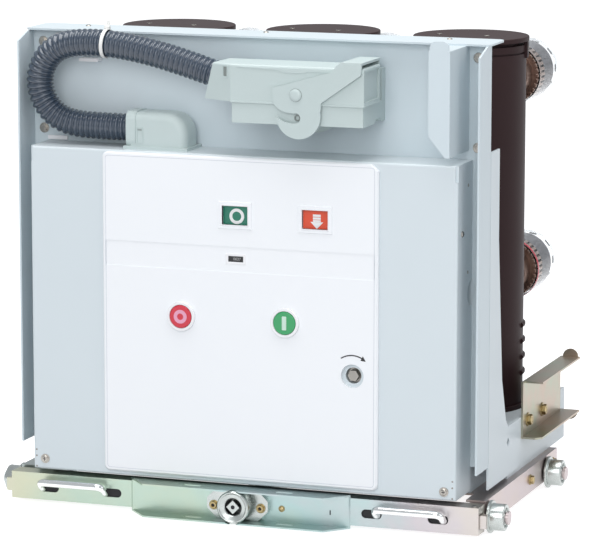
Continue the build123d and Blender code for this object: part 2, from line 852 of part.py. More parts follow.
# centre channel of the beam: forward flanges with tapered ends and slots
with BuildPart() as beam_centre:
    centre_rise = centre_top_z - centre_bottom_z
    with BuildSketch(Plane.XY.offset(centre_bottom_z)):
        with BuildLine():
            Polyline(
                (-centre_width / 2, beam_y),
                (-centre_width / 2 + centre_taper, beam_y - centre_reach),
                (centre_width / 2 - centre_taper, beam_y - centre_reach),
                (centre_width / 2, beam_y),
                close=True,
            )
        make_face()
    extrude(amount=centre_rise)
    with Locations((0, beam_y - centre_sheet - centre_reach / 2, centre_bottom_z + centre_rise / 2)):
        Box(centre_width, centre_reach, centre_rise - 2 * centre_sheet, mode=Mode.SUBTRACT)
    with BuildSketch(Plane.XY.offset(centre_bottom_z)):
        for x in centre_slots:
            with Locations((x, beam_y - centre_reach / 2)):
                Rectangle(centre_slot_length, centre_slot_width)
    extrude(amount=centre_rise, mode=Mode.SUBTRACT)
    with BuildSketch(front_plane(beam_y)):
        with Locations((0, racking_z)):
            Circle(screw_radius + screw_gap)
    extrude(amount=centre_sheet, mode=Mode.SUBTRACT)
    with BuildSketch(front_plane(beam_y - centre_reach)):
        with Locations((0, racking_z)):
            Circle(boss_ring_radius + boss_notch_gap)
    extrude(amount=-(boss_ring_length + boss_notch_gap), mode=Mode.SUBTRACT)
save(beam_centre.part, "beam_centre")

# racking boss: octagonal flange and a ring around the square end of the screw
boss_face_y = beam_y - centre_reach
with BuildPart() as racking_boss:
    boss_rear_y = beam_y - centre_sheet
    with BuildSketch(front_plane(boss_rear_y)) as boss_outline:
        with Locations((0, racking_z)):
            Rectangle(boss_plate_width, centre_rise - 2 * (centre_sheet + boss_plate_gap))
        chamfer(boss_outline.vertices(), boss_plate_corner)
        with Locations((0, racking_z)):
            Circle(boss_ring_bore, mode=Mode.SUBTRACT)
    extrude(amount=boss_plate)
    ring_rear_y = boss_face_y + boss_ring_length
    with BuildSketch(Plane.YZ):
        with BuildLine():
            Polyline([(y, racking_z + radius) for y, radius in (
                (boss_face_y + boss_cup, boss_ring_bore),
                (boss_face_y + boss_cup - boss_cup_edge, boss_ring_bore + boss_cup_edge),
                (boss_face_y + boss_ring_bevel, boss_ring_radius - boss_lip - boss_ring_bevel),
                (boss_face_y, boss_ring_radius - boss_lip),
                (boss_face_y, boss_ring_radius - boss_ring_bevel),
                (boss_face_y + boss_ring_bevel, boss_ring_radius),
                (ring_rear_y - boss_ring_bevel, boss_ring_radius),
                (ring_rear_y, boss_barrel_radius),
                (boss_rear_y, boss_barrel_radius),
                (boss_rear_y, boss_ring_bore),
            )], close=True)
        make_face()
    revolve(axis=Axis((0, 0, racking_z), (0, 1, 0)))
save(racking_boss.part, "racking_boss")

# racking screw with a shoulder in the boss and a square end turned by a crank
square_rear_y = boss_face_y + square_recess + square_length
with BuildPart() as racking_screw:
    with BuildSketch(front_plane(square_rear_y)):
        with Locations((0, racking_z)):
            Rectangle(square_width, square_width, rotation=45)
    extrude(amount=square_length)
    with BuildSketch(front_plane(square_rear_y)):
        with Locations((0, racking_z)):
            Circle(screw_radius)
    extrude(amount=-(cover_y + screw_rear - (square_rear_y)))
    with BuildSketch(front_plane(beam_y - centre_sheet - shoulder_gap)):
        with Locations((0, racking_z)):
            Circle(boss_ring_bore - screw_gap)
    extrude(amount=shoulder_length)
save(racking_screw.part, "racking_screw")

# guide bars of the beam, running inside the side rails
bar_top_z = beam_top_z - beam_sheet
with BuildPart() as guide_bars:
    for side in (-1, 1):
        bar_outer_x = rail_outer_x - rail_sheet - bar_gap
        bar_inner_x = rail_inner_x + bar_inset
        bar_low_z = rail_bottom_z + rail_sheet + bar_gap
        bar_front_y = bolt_mid_y + bolt_depth / 2 + bar_bolt_gap
        with Locations((
            side * (bar_outer_x + bar_inner_x) / 2,
            (bar_front_y + cover_y + bar_rear) / 2,
            (bar_low_z + bar_top_z) / 2,
        )):
            Box(bar_outer_x - bar_inner_x, cover_y + bar_rear - bar_front_y, bar_top_z - bar_low_z)
save(guide_bars.part, "guide_bars")

# latch bolts with bevelled tips and the D-handles that draw them in
for side, side_name in ((-1, "left"), (1, "right")):
    with BuildPart() as latch_bolt:
        tip_x = rail_outer_x + bolt_reach
        root_x = handle_inner_x - bolt_tail
        with Locations((side * (tip_x + root_x) / 2, bolt_mid_y, latch_z)):
            Box(tip_x - root_x, bolt_depth, bolt_height)
        tip_face = latch_bolt.faces().sort_by(Axis.X)[-1 if side > 0 else 0]
        chamfer(tip_face.edges().filter_by(Axis.Z).sort_by(Axis.Y)[-1:], bolt_bevel)
    save(latch_bolt.part, f"latch_bolt_{side_name}")
    with BuildPart() as pull_handle:
        bar_y = beam_y - handle_standoff
        bar_z = latch_z + handle_rise
        root_y = bolt_mid_y - bolt_depth / 2
        with BuildLine() as grip:
            FilletPolyline(
                (side * handle_inner_x, root_y, latch_z),
                (side * handle_inner_x, beam_y - handle_leg, latch_z),
                (side * handle_inner_x, bar_y, bar_z),
                (side * handle_outer_x, bar_y, bar_z),
                (side * handle_outer_x, beam_y - handle_leg, latch_z),
                (side * handle_outer_x, root_y, latch_z),
                radius=handle_bend,
            )
        with BuildSketch(Plane(origin=grip.line @ 0, z_dir=grip.line % 0)):
            Circle(handle_radius)
        sweep()
    save(pull_handle.part, f"pull_handle_{side_name}")

# shutter-drive brackets: outward channels with rounded ears at their rear end
with BuildPart() as shutter_brackets:
    for side in (-1, 1):
        web_x = base_width / 2
        bracket_rise = bracket_top_z - bracket_bottom_z
        bracket_mid_z = bracket_bottom_z + bracket_rise / 2
        channel_x = web_x + bracket_sheet + bracket_flange / 2
        with BuildSketch(front_plane(cover_y + bracket_front)):
            with Locations((side * (web_x + bracket_flange / 2), bracket_mid_z)):
                Rectangle(bracket_flange, bracket_rise)
            with Locations((side * channel_x, bracket_mid_z)):
                Rectangle(bracket_flange, bracket_rise - 2 * bracket_sheet, mode=Mode.SUBTRACT)
        extrude(amount=-(bracket_rear - bracket_front))
        flange_edges = shutter_brackets.edges().filter_by(Axis.Z).group_by(Axis.Y)[0]
        lower_corner = flange_edges.group_by(Axis.Z)[0].sort_by(Axis.X)[-1 if side > 0 else 0]
        chamfer(lower_corner, bracket_corner)
        with Locations((side * channel_x, cover_y + bracket_front, bracket_top_z)):
            Box(
                bracket_flange,
                2 * (bracket_flange_front - bracket_front),
                2 * bracket_sheet,
                mode=Mode.SUBTRACT,
            )
        with Locations((side * web_x, cover_y + bracket_rear, bracket_mid_z)):
            Box(
                2 * bracket_flange,
                2 * (bracket_rear - bracket_web_rear),
                bracket_rise - 2 * bracket_sheet,
                mode=Mode.SUBTRACT,
            )
        with BuildSketch(front_plane(cover_y + bracket_rear)):
            for level in (bracket_bottom_z, bracket_top_z):
                with Locations((side * (web_x + bracket_ear_x), level)):
                    Circle(bracket_ear_radius)
            with Locations((side * (web_x + bracket_ear_x), bracket_mid_z)):
                Rectangle(2 * bracket_flange, bracket_rise - 2 * bracket_sheet, mode=Mode.SUBTRACT)
        extrude(amount=bracket_sheet)
save(shutter_brackets.part, "shutter_brackets")

# secondary plug: upper shell with a tapered nose and the lever's pivot pin, lower base with feet to the plate
lever_front_y = cover_y + plug_front - lever_gap - lever_sheet
lever_rear_y = cover_y + plug_rear + lever_gap
pin_front_y = lever_front_y - pivot_side_gap - pivot_head
with BuildPart() as plug_shell:
    with BuildSketch(Plane.XY.offset(plug_split_z)) as shell_outline:
        with BuildLine():
            Polyline(
                (plug_nose_x - plug_nose_stock, cover_y + plug_nose_front),
                (plug_left_x, cover_y + plug_front),
                (plug_right_x, cover_y + plug_front),
                (plug_right_x, cover_y + plug_rear),
                (plug_nose_x - plug_nose_stock, cover_y + plug_rear),
                close=True,
            )
        make_face()
    extrude(amount=plug_top_z - plug_split_z)
    nose_direction = Vector(*conduit_points[-1]) - Vector(*conduit_points[-2])
    split(bisect_by=Plane(origin=conduit_points[-1], z_dir=nose_direction), keep=Keep.TOP)
    fillet(plug_shell.edges().group_by(Axis.Z)[-1], plug_corner)
    window_middle_y = cover_y + (plug_front + plug_rear) / 2
    with Locations((plug_right_x, window_middle_y, (plug_split_z + plug_top_z) / 2)):
        Box(
            2 * plug_window_depth,
            plug_rear - plug_front - 2 * plug_window_margin,
            plug_top_z - plug_split_z - 2 * plug_window_margin,
            mode=Mode.SUBTRACT,
        )
    with BuildSketch(front_plane(pin_front_y)):
        with Locations((pivot_x, pivot_z)):
            Circle(pivot_radius)
    extrude(amount=-pivot_head)
    with BuildSketch(front_plane(pin_front_y)):
        with Locations((pivot_x, pivot_z)):
            Circle(pin_radius)
    extrude(amount=-(lever_rear_y + lever_sheet - pin_front_y))
save(plug_shell.part, "plug_shell")
with BuildPart() as plug_base:
    base_left_x = plug_left_x + plug_inset
    base_right_x = plug_right_x - plug_inset
    with BuildSketch(Plane.XY.offset(plug_bottom_z)):
        base_depth_y = plug_rear - plug_front - plug_inset
        with Locations(((base_left_x + base_right_x) / 2, cover_y + plug_rear - base_depth_y / 2)):
            Rectangle(base_right_x - base_left_x, base_depth_y)
        end_blocks = ((base_left_x, plug_block_left), (base_right_x - plug_block_right, plug_block_right))
        for left_x, width in end_blocks:
            with Locations((left_x + width / 2, cover_y + (plug_rear + plug_wall_front) / 2)):
                Rectangle(width, plug_wall_front - plug_rear)
    extrude(amount=plug_split_z - plug_bottom_z)
    with Locations((
        (base_left_x + base_right_x) / 2,
        cover_y + (plug_wall_front + cover_depth) / 2,
        plug_bottom_z + plug_wall_height / 2,
    )):
        Box(base_right_x - base_left_x, cover_depth - plug_wall_front, plug_wall_height)
    with BuildSketch(Plane.YZ.offset(base_right_x)):
        with Locations((cover_y + plug_arch_y, plug_bottom_z + plug_arch_rise - plug_arch_radius)):
            Circle(plug_arch_radius)
    extrude(amount=-plug_block_right, mode=Mode.SUBTRACT)
save(plug_base.part, "plug_base")

# locking lever: cam cheeks front and rear joined by a bridge over the plug
with BuildPart() as locking_lever:
    for cheek_y in (lever_front_y + lever_sheet, lever_rear_y + lever_sheet):
        with BuildSketch(front_plane(cheek_y)) as cheek:
            corners = from_pivot(lever_outline)
            with BuildLine():
                Polyline(corners, close=True)
            make_face()
            rounded = (
                (1, lever_jaw_corner),
                (3, lever_bend_corner),
                (4, lever_bend_corner),
                (5, lever_tip_corner),
                (6, lever_tip_corner),
                (7, lever_waist_corner),
            )
            for index, corner_radius in rounded:
                corner_x, corner_z = corners[index]
                nearest = cheek.vertices().sort_by_distance((corner_x, cheek_y, corner_z))
                fillet(nearest[:1], corner_radius)
            with Locations((cam_x, cam_z)):
                Circle(cam_radius)
            with BuildLine():
                upper_lip = Spline(from_pivot(slot_upper_lip))
                lower_lip = Spline(from_pivot(slot_lower_lip))
                RadiusArc(upper_lip @ 1, lower_lip @ 0, slot_end_radius)
                Line(lower_lip @ 1, upper_lip @ 0)
            make_face(mode=Mode.SUBTRACT)
            with Locations((pivot_x, pivot_z)):
                Circle(pin_radius + pin_gap, mode=Mode.SUBTRACT)
        extrude(amount=lever_sheet)
    with BuildSketch(front_plane(lever_rear_y + lever_sheet)):
        with BuildLine():
            Polyline(from_pivot(lever_bridge), close=True)
        make_face()
    extrude(amount=lever_rear_y + lever_sheet - lever_front_y)
save(locking_lever.part, "locking_lever")

# gland: domed elbow on a base flange, its mouth facing left
with BuildPart() as cable_gland:
    gland_mid_y = cover_y + (gland_front + gland_rear) / 2
    gland_body_x = gland_left_x + gland_collar / 2
    gland_rise = gland_top_z - cover_top_z
    gland_depth = gland_rear - gland_front
    with Locations(((gland_body_x + gland_right_x) / 2, gland_mid_y, cover_top_z + gland_rise / 2)):
        Box(gland_right_x - gland_body_x, gland_depth, gland_rise)
    elbow_edge = cable_gland.edges().filter_by(Axis.Y).group_by(Axis.Z)[-1].sort_by(Axis.X)[-1:]
    fillet(elbow_edge, gland_elbow)
    for outline_face in (cable_gland.faces().sort_by(Axis.Y)[0], cable_gland.faces().sort_by(Axis.Y)[-1]):
        upper_edges = [
            edge for edge in outline_face.edges()
            if edge.center().Z > cover_top_z and edge.center().X > gland_body_x
        ]
        fillet(upper_edges, gland_shoulder)
    with BuildSketch(Plane.YZ.offset(gland_left_x)) as collar_outline:
        with Locations((gland_mid_y, cover_top_z + (gland_rise + gland_collar_step) / 2)):
            Rectangle(gland_depth + 2 * gland_collar_step, gland_rise + gland_collar_step)
        fillet(collar_outline.vertices().group_by(Axis.Z)[-1], gland_shoulder + gland_collar_step)
    extrude(amount=gland_collar)
    with Locations(((gland_left_x + gland_right_x) / 2, gland_mid_y, cover_top_z + gland_flange / 2)):
        Box(gland_right_x - gland_left_x + 2 * gland_lip, gland_depth + 2 * gland_lip, gland_flange)
save(cable_gland.part, "cable_gland")

# conduit from the gland, up round the left of the screen plate and back to the plug
route = [Vector(*point) for point in conduit_points]
bend_radii = []
for before, corner, after in zip(route, route[1:], route[2:]):
    turn = radians((corner - before).get_angle(after - corner))
    shorter_run = min((corner - before).length, (after - corner).length)
    bend_radii.append(bend_share * shorter_run / tan(turn / 2))
print("conduit radii", [round(radius, 1) for radius in bend_radii])
with BuildPart() as conduit:
    with BuildLine() as conduit_path:
        FilletPolyline(*route, radius=bend_radii)
    with BuildSketch(Plane(origin=conduit_path.line @ 0, z_dir=conduit_path.line % 0)):
        Circle(hose_radius)
    sweep()
conduit_length = conduit_path.wire().length
conduit_section = pi * hose_radius ** 2
print("conduit length", round(conduit_length, 1))
print("conduit volume ratio", round(conduit.part.volume / (conduit_section * conduit_length), 4))
save(conduit.part, "conduit")
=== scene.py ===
from math import cos, pi, radians, sin

import bmesh
import bpy
from mathutils import Matrix, Vector


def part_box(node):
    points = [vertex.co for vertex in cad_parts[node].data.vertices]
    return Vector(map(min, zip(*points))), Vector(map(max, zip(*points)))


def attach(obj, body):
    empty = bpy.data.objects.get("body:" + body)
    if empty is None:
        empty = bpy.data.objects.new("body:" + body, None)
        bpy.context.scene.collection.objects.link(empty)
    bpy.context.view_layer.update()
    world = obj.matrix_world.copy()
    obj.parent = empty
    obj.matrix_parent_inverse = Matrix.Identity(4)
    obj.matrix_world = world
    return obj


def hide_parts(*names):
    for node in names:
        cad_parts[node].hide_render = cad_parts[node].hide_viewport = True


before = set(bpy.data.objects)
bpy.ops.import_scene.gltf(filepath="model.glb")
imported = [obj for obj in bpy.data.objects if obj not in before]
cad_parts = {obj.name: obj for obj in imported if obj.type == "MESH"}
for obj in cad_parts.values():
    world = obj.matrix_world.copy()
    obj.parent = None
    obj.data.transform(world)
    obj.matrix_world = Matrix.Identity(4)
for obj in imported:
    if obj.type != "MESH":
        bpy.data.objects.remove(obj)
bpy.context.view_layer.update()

print("frame loaded")

# Shared building blocks: every length is in metres, in the frame of the CAD model.


def addObject(name, data):
    thing = bpy.data.objects.new(name, data)
    bpy.context.scene.collection.objects.link(thing)
    return thing


def curveMesh(curve):
    holder = addObject("holder", curve)
    bpy.context.view_layer.update()
    mesh = bpy.data.meshes.new_from_object(holder)
    bpy.data.objects.remove(holder)
    bpy.data.curves.remove(curve)
    return mesh


def finishMesh(bm, name, paint, body="breaker", sharpAngle=32):
    bmesh.ops.recalc_face_normals(bm, faces=bm.faces)
    mesh = bpy.data.meshes.new(name)
    bm.to_mesh(mesh)
    bm.free()
    for polygon in mesh.polygons:
        polygon.use_smooth = True
    mesh.set_sharp_from_angle(angle=radians(sharpAngle))
    piece = addObject(name, mesh)
    mesh.materials.append(paints[paint])
    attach(piece, body)
    return piece


def aim(origin, direction, twist=0.0):
    # matrix that takes local +Z along direction and local X as level as it can be
    turn = Vector(direction).to_track_quat("Z", "Y").to_matrix().to_4x4()
    return Matrix.Translation(Vector(origin)) @ turn @ Matrix.Rotation(twist, 4, "Z")


def addLathe(bm, profile, place, segments=32):
    # closed solid of revolution about local Z, from (radius, height) pairs
    rings = []
    for radius, height in profile:
        if radius < 1e-6:
            rings.append([bm.verts.new(place @ Vector((0, 0, height)))])
            continue
        rings.append([
            bm.verts.new(place @ Vector((radius * cos(a), radius * sin(a), height)))
            for a in (2 * pi * i / segments for i in range(segments))
        ])
    for low, high in zip(rings, rings[1:]):
        for i in range(segments):
            j = (i + 1) % segments
            corners = []
            ends = (low[i % len(low)], low[j % len(low)], high[j % len(high)], high[i % len(high)])
            for corner in ends:
                if corner not in corners:
                    corners.append(corner)
            if len(corners) > 2:
                bm.faces.new(corners)
    return rings


def addPrism(bm, outline, place, low, high, bevel=0.0, steps=2):
    # straight extrusion of a flat outline along local Z, its rims rounded when bevel is given
    bottom = [bm.verts.new(place @ Vector((x, y, low))) for x, y in outline]
    top = [bm.verts.new(place @ Vector((x, y, high))) for x, y in outline]
    faces = [bm.faces.new(list(reversed(bottom))), bm.faces.new(top)]
    count = len(outline)
    for i in range(count):
        j = (i + 1) % count
        faces.append(bm.faces.new((bottom[i], bottom[j], top[j], top[i])))
    if bevel > 0:
        rim = {edge for face in faces[:2] for edge in face.edges}
        bmesh.ops.bevel(
            bm, geom=list(rim), offset=bevel, segments=steps, affect="EDGES", clamp_overlap=True,
        )


def boxOutline(width, height, corner, steps=5):
    # rectangle about the origin with rounded corners
    signs = ((1, -1), (1, 1), (-1, 1), (-1, -1))
    points = []
    for quarter, (sx, sy) in enumerate(signs):
        cx = sx * (width / 2 - corner)
        cy = sy * (height / 2 - corner)
        for step in range(steps + 1):
            angle = radians(-90 + 90 * quarter + 90 * step / steps)
            points.append((cx + corner * cos(angle), cy + corner * sin(angle)))
    return points


def circleOutline(radius, count, phase=0.0):
    angles = [phase + 2 * pi * i / count for i in range(count)]
    return [(radius * cos(a), radius * sin(a)) for a in angles]


def addTube(bm, path, radiusAt, segments):
    # tube along a list of points, with a radius for each ring and both ends closed
    points = [Vector(p) for p in path]
    tangents = []
    for i, point in enumerate(points):
        before = points[max(i - 1, 0)]
        after = points[min(i + 1, len(points) - 1)]
        tangents.append((after - before).normalized())
    side = tangents[0].orthogonal().normalized()
    rings = []
    for i, (point, tangent) in enumerate(zip(points, tangents)):
        side = (side - tangent * side.dot(tangent)).normalized()
        other = tangent.cross(side)
        radius = radiusAt(i)
        rings.append([
            bm.verts.new(point + side * radius * cos(a) + other * radius * sin(a))
            for a in (2 * pi * k / segments for k in range(segments))
        ])
    for low, high in zip(rings, rings[1:]):
        for i in range(segments):
            j = (i + 1) % segments
            bm.faces.new((low[i], low[j], high[j], high[i]))
    bm.faces.new(list(reversed(rings[0])))
    bm.faces.new(rings[-1])


def addRing(bm, place, inner, outer, low, high, segments=40):
    addLathe(bm, [(inner, low), (outer, low), (outer, high), (inner, high), (inner, low)], place, segments)


def addFrame(bm, loops, place):
    # closed rectangular moulding through (width, height, corner, level) loops
    rings = []
    for width, height, corner, level in loops:
        outline = boxOutline(width, height, corner)
        rings.append([bm.verts.new(place @ Vector((x, y, level))) for x, y in outline])
    for low, high in zip(rings, rings[1:] + rings[:1]):
        for i in range(len(low)):
            j = (i + 1) % len(low)
            bm.faces.new((low[i], low[j], high[j], high[i]))


# Camera at the photograph's angle, level and without shift.
camera = {
    "place": (1.6112, -4.6340, 1.1146),
    "right": (0.94302, 0.33273, 0.00082),
    "up": (-0.05695, 0.15898, 0.98564),
    "forward": (-0.32782, 0.92953, -0.16887),
    "lens": 218.25,
    "sensor": 36.0,
}


def placeCamera():
    data = bpy.data.cameras.new("camera")
    data.lens = camera["lens"]
    data.sensor_width = camera["sensor"]
    data.sensor_fit = "HORIZONTAL"
    data.clip_end = 60.0
    eye = addObject("camera", data)
    rows = zip(camera["right"], camera["up"], [-v for v in camera["forward"]])
    turn = Matrix([list(row) for row in rows])
    eye.matrix_world = Matrix.Translation(camera["place"]) @ turn.to_4x4()
    bpy.context.scene.camera = eye


placeCamera()
print("camera placed")

# Shader groups: each gives only values, masks or colours that change over the surface.


def feed(tree, socket, value):
    # a socket takes a link, a colour or a plain number
    if isinstance(value, bpy.types.NodeSocket):
        tree.links.new(value, socket)
    else:
        socket.default_value = (*value, 1.0) if isinstance(value, tuple) else value


def nodeGroup(name, inputs, outputs):
    tree = bpy.data.node_groups.new(name, "ShaderNodeTree")
    for label, value in inputs.items():
        kind = "NodeSocketColor" if isinstance(value, tuple) else "NodeSocketFloat"
        feed(tree, tree.interface.new_socket(name=label, in_out="INPUT", socket_type=kind), value)
    for label in outputs:
        kind = "NodeSocketColor" if label == "Colour" else "NodeSocketFloat"
        tree.interface.new_socket(name=label, in_out="OUTPUT", socket_type=kind)
    return tree, tree.nodes.new("NodeGroupInput").outputs, tree.nodes.new("NodeGroupOutput").inputs


def mathNode(tree, operation, *values, clamp=False):
    node = tree.nodes.new("ShaderNodeMath")
    node.operation = operation
    node.use_clamp = clamp
    for socket, value in zip(node.inputs, values):
        feed(tree, socket, value)
    return node.outputs[0]


def noiseNode(tree, scale, detail, rough, vector=None):
    node = tree.nodes.new("ShaderNodeTexNoise")
    if vector is None:
        vector = tree.nodes.new("ShaderNodeTexCoord").outputs["Object"]
    for label, value in (("Scale", scale), ("Detail", detail), ("Roughness", rough), ("Vector", vector)):
        feed(tree, node.inputs[label], value)
    return node.outputs["Fac"]


def mixColour(tree, factor, first, second):
    node = tree.nodes.new("ShaderNodeMix")
    node.data_type = "RGBA"
    node.clamp_factor = True
    for index, value in ((0, factor), (6, first), (7, second)):
        feed(tree, node.inputs[index], value)
    return node.outputs[2]


def rampNode(tree, factor, stops):
    node = tree.nodes.new("ShaderNodeValToRGB")
    ramp = node.color_ramp
    while len(ramp.elements) < len(stops):
        ramp.elements.new(0.5)
    for element, (position, colour) in zip(ramp.elements, stops):
        element.position = position
        element.color = colour + (1.0,)
    tree.links.new(factor, node.inputs[0])
    return node.outputs[0]


def stretched(tree, scales):
    coordinates = tree.nodes.new("ShaderNodeTexCoord").outputs["Object"]
    mapping = tree.nodes.new("ShaderNodeMapping")
    mapping.inputs["Scale"].default_value = scales
    tree.links.new(coordinates, mapping.inputs["Vector"])
    return mapping.outputs[0]


def makePebbleGroup():
    # fine pebble of powder coat or moulded plastic, with a slow tone drift
    tree, entry, leave = nodeGroup("pebble", {"Scale": 900.0, "ToneScale": 5.0}, ("Height", "Tone"))
    tree.links.new(noiseNode(tree, entry["Scale"], 2.0, 0.6), leave["Height"])
    tree.links.new(noiseNode(tree, entry["ToneScale"], 3.0, 0.55), leave["Tone"])
    return tree


def makeDustGroup():
    # thin dust that gathers on upward faces and in slow patches
    inputs = {"Colour": (0.7, 0.7, 0.7), "Dust": (0.55, 0.52, 0.47), "Amount": 0.1}
    tree, entry, leave = nodeGroup("dust", inputs, ("Colour",))
    split = tree.nodes.new("ShaderNodeSeparateXYZ")
    tree.links.new(tree.nodes.new("ShaderNodeNewGeometry").outputs["Normal"], split.inputs[0])
    level = mathNode(tree, "MAXIMUM", split.outputs[2], 0.15)
    mask = mathNode(tree, "MULTIPLY", level, noiseNode(tree, 14.0, 5.0, 0.65))
    mask = mathNode(tree, "MULTIPLY", mask, entry["Amount"], clamp=True)
    tree.links.new(mixColour(tree, mask, entry["Colour"], entry["Dust"]), leave["Colour"])
    return tree


def makeBloomGroup():
    # rainbow bloom of a passivated zinc film, drifting along the part
    inputs = {"Scale": 7.0, "Drift": 1.2, "Shift": 0.0, "Base": (0.7, 0.7, 0.7), "Strength": 0.6}
    tree, entry, leave = nodeGroup("platingBloom", inputs, ("Colour", "Film"))
    coordinates = tree.nodes.new("ShaderNodeTexCoord").outputs["Object"]
    split = tree.nodes.new("ShaderNodeSeparateXYZ")
    tree.links.new(coordinates, split.inputs[0])
    drift = mathNode(tree, "MULTIPLY", split.outputs[0], entry["Drift"])
    fine = noiseNode(tree, entry["Scale"], 4.0, 0.6, coordinates)
    film = mathNode(tree, "ADD", drift, mathNode(tree, "MULTIPLY", fine, 0.8))
    film = mathNode(tree, "FRACT", mathNode(tree, "ADD", film, entry["Shift"]))
    tint = rampNode(tree, film, [
        (0.0, (0.50, 0.50, 0.30)), (0.2, (0.34, 0.50, 0.38)), (0.42, (0.26, 0.46, 0.47)),
        (0.6, (0.50, 0.42, 0.48)), (0.8, (0.60, 0.50, 0.40)), (1.0, (0.50, 0.50, 0.30)),
    ])
    tree.links.new(mixColour(tree, entry["Strength"], entry["Base"], tint), leave["Colour"])
    tree.links.new(fine, leave["Film"])
    return tree


def makeBrushGroup():
    # fine turning and handling marks
    tree, entry, leave = nodeGroup("turningMarks", {"Scale": 60.0}, ("Height", "Marks"))
    fine = noiseNode(tree, entry["Scale"], 6.0, 0.7, stretched(tree, (1.0, 1.0, 14.0)))
    tree.links.new(fine, leave["Height"])
    tree.links.new(noiseNode(tree, entry["Scale"], 3.0, 0.5), leave["Marks"])
    return tree


groups = {
    "pebble": makePebbleGroup(),
    "dust": makeDustGroup(),
    "bloom": makeBloomGroup(),
    "marks": makeBrushGroup(),
}


def placeGroup(tree, name, **values):
    node = tree.nodes.new("ShaderNodeGroup")
    node.node_tree = groups[name]
    for label, value in values.items():
        feed(tree, node.inputs[label], value)
    return node


def spread(tree, value, low, high):
    # maps a 0 to 1 value onto a range
    node = tree.nodes.new("ShaderNodeMapRange")
    node.inputs["To Min"].default_value = low
    node.inputs["To Max"].default_value = high
    tree.links.new(value, node.inputs["Value"])
    return node.outputs[0]


def newMaterial(name, metallic=0.0, ior=1.5, coat=0.0, coatRoughness=0.1):
    material = bpy.data.materials.new(name)
    material.use_nodes = True
    tree = material.node_tree
    shader = tree.nodes["Principled BSDF"]
    shader.inputs["Metallic"].default_value = metallic
    shader.inputs["IOR"].default_value = ior
    shader.inputs["Coat Weight"].default_value = coat
    shader.inputs["Coat Roughness"].default_value = coatRoughness
    return material, tree, shader


def addBump(tree, shader, height, strength, distance):
    bump = tree.nodes.new("ShaderNodeBump")
    bump.inputs["Strength"].default_value = strength
    bump.inputs["Distance"].default_value = distance
    tree.links.new(height, bump.inputs["Height"])
    tree.links.new(bump.outputs[0], shader.inputs["Normal"])


def coatedSheet(name, colour, dark, rough, grain, bump, dust, coat=0.0, ior=1.5):
    # powder coat, paint or moulded plastic
    material, tree, shader = newMaterial(name, ior=ior, coat=coat)
    pebble = placeGroup(tree, "pebble", Scale=grain, ToneScale=4.0)
    tone = mixColour(tree, spread(tree, pebble.outputs["Tone"], 0.0, 1.0), dark, colour)
    film = placeGroup(tree, "dust", Amount=dust)
    tree.links.new(tone, film.inputs["Colour"])
    tree.links.new(film.outputs["Colour"], shader.inputs["Base Color"])
    tree.links.new(spread(tree, pebble.outputs["Tone"], rough[0], rough[1]), shader.inputs["Roughness"])
    addBump(tree, shader, pebble.outputs["Height"], bump, 0.0004)
    return material


def platedSteel(name, base, strength, scale, drift, shift, rough=(0.26, 0.42), dust=0.1):
    material, tree, shader = newMaterial(name, metallic=1.0)
    bloom = placeGroup(tree, "bloom", Scale=scale, Drift=drift, Shift=shift, Base=base, Strength=strength)
    film = placeGroup(tree, "dust", Amount=dust)
    tree.links.new(bloom.outputs["Colour"], film.inputs["Colour"])
    tree.links.new(film.outputs["Colour"], shader.inputs["Base Color"])
    tree.links.new(spread(tree, bloom.outputs["Film"], rough[0], rough[1]), shader.inputs["Roughness"])
    marks = placeGroup(tree, "marks", Scale=90.0)
    addBump(tree, shader, marks.outputs["Height"], 0.08, 0.0003)
    return material


def turnedMetal(name, colour, dark, rough, scale=60.0, bump=0.1):
    material, tree, shader = newMaterial(name, metallic=1.0)
    marks = placeGroup(tree, "marks", Scale=scale)
    tree.links.new(mixColour(tree, marks.outputs["Marks"], dark, colour), shader.inputs["Base Color"])
    tree.links.new(spread(tree, marks.outputs["Marks"], rough[0], rough[1]), shader.inputs["Roughness"])
    addBump(tree, shader, marks.outputs["Height"], bump, 0.0002)
    return material


def clearPlastic(name, ior):
    material, tree, shader = newMaterial(name, ior=ior)
    pebble = placeGroup(tree, "pebble", Scale=40.0, ToneScale=18.0)
    tint = mixColour(tree, pebble.outputs["Tone"], (0.93, 0.95, 0.96), (1.0, 1.0, 1.0))
    tree.links.new(tint, shader.inputs["Base Color"])
    tree.links.new(spread(tree, pebble.outputs["Tone"], 0.03, 0.12), shader.inputs["Roughness"])
    shader.inputs["Transmission Weight"].default_value = 1.0
    addBump(tree, shader, pebble.outputs["Height"], 0.06, 0.001)
    return material


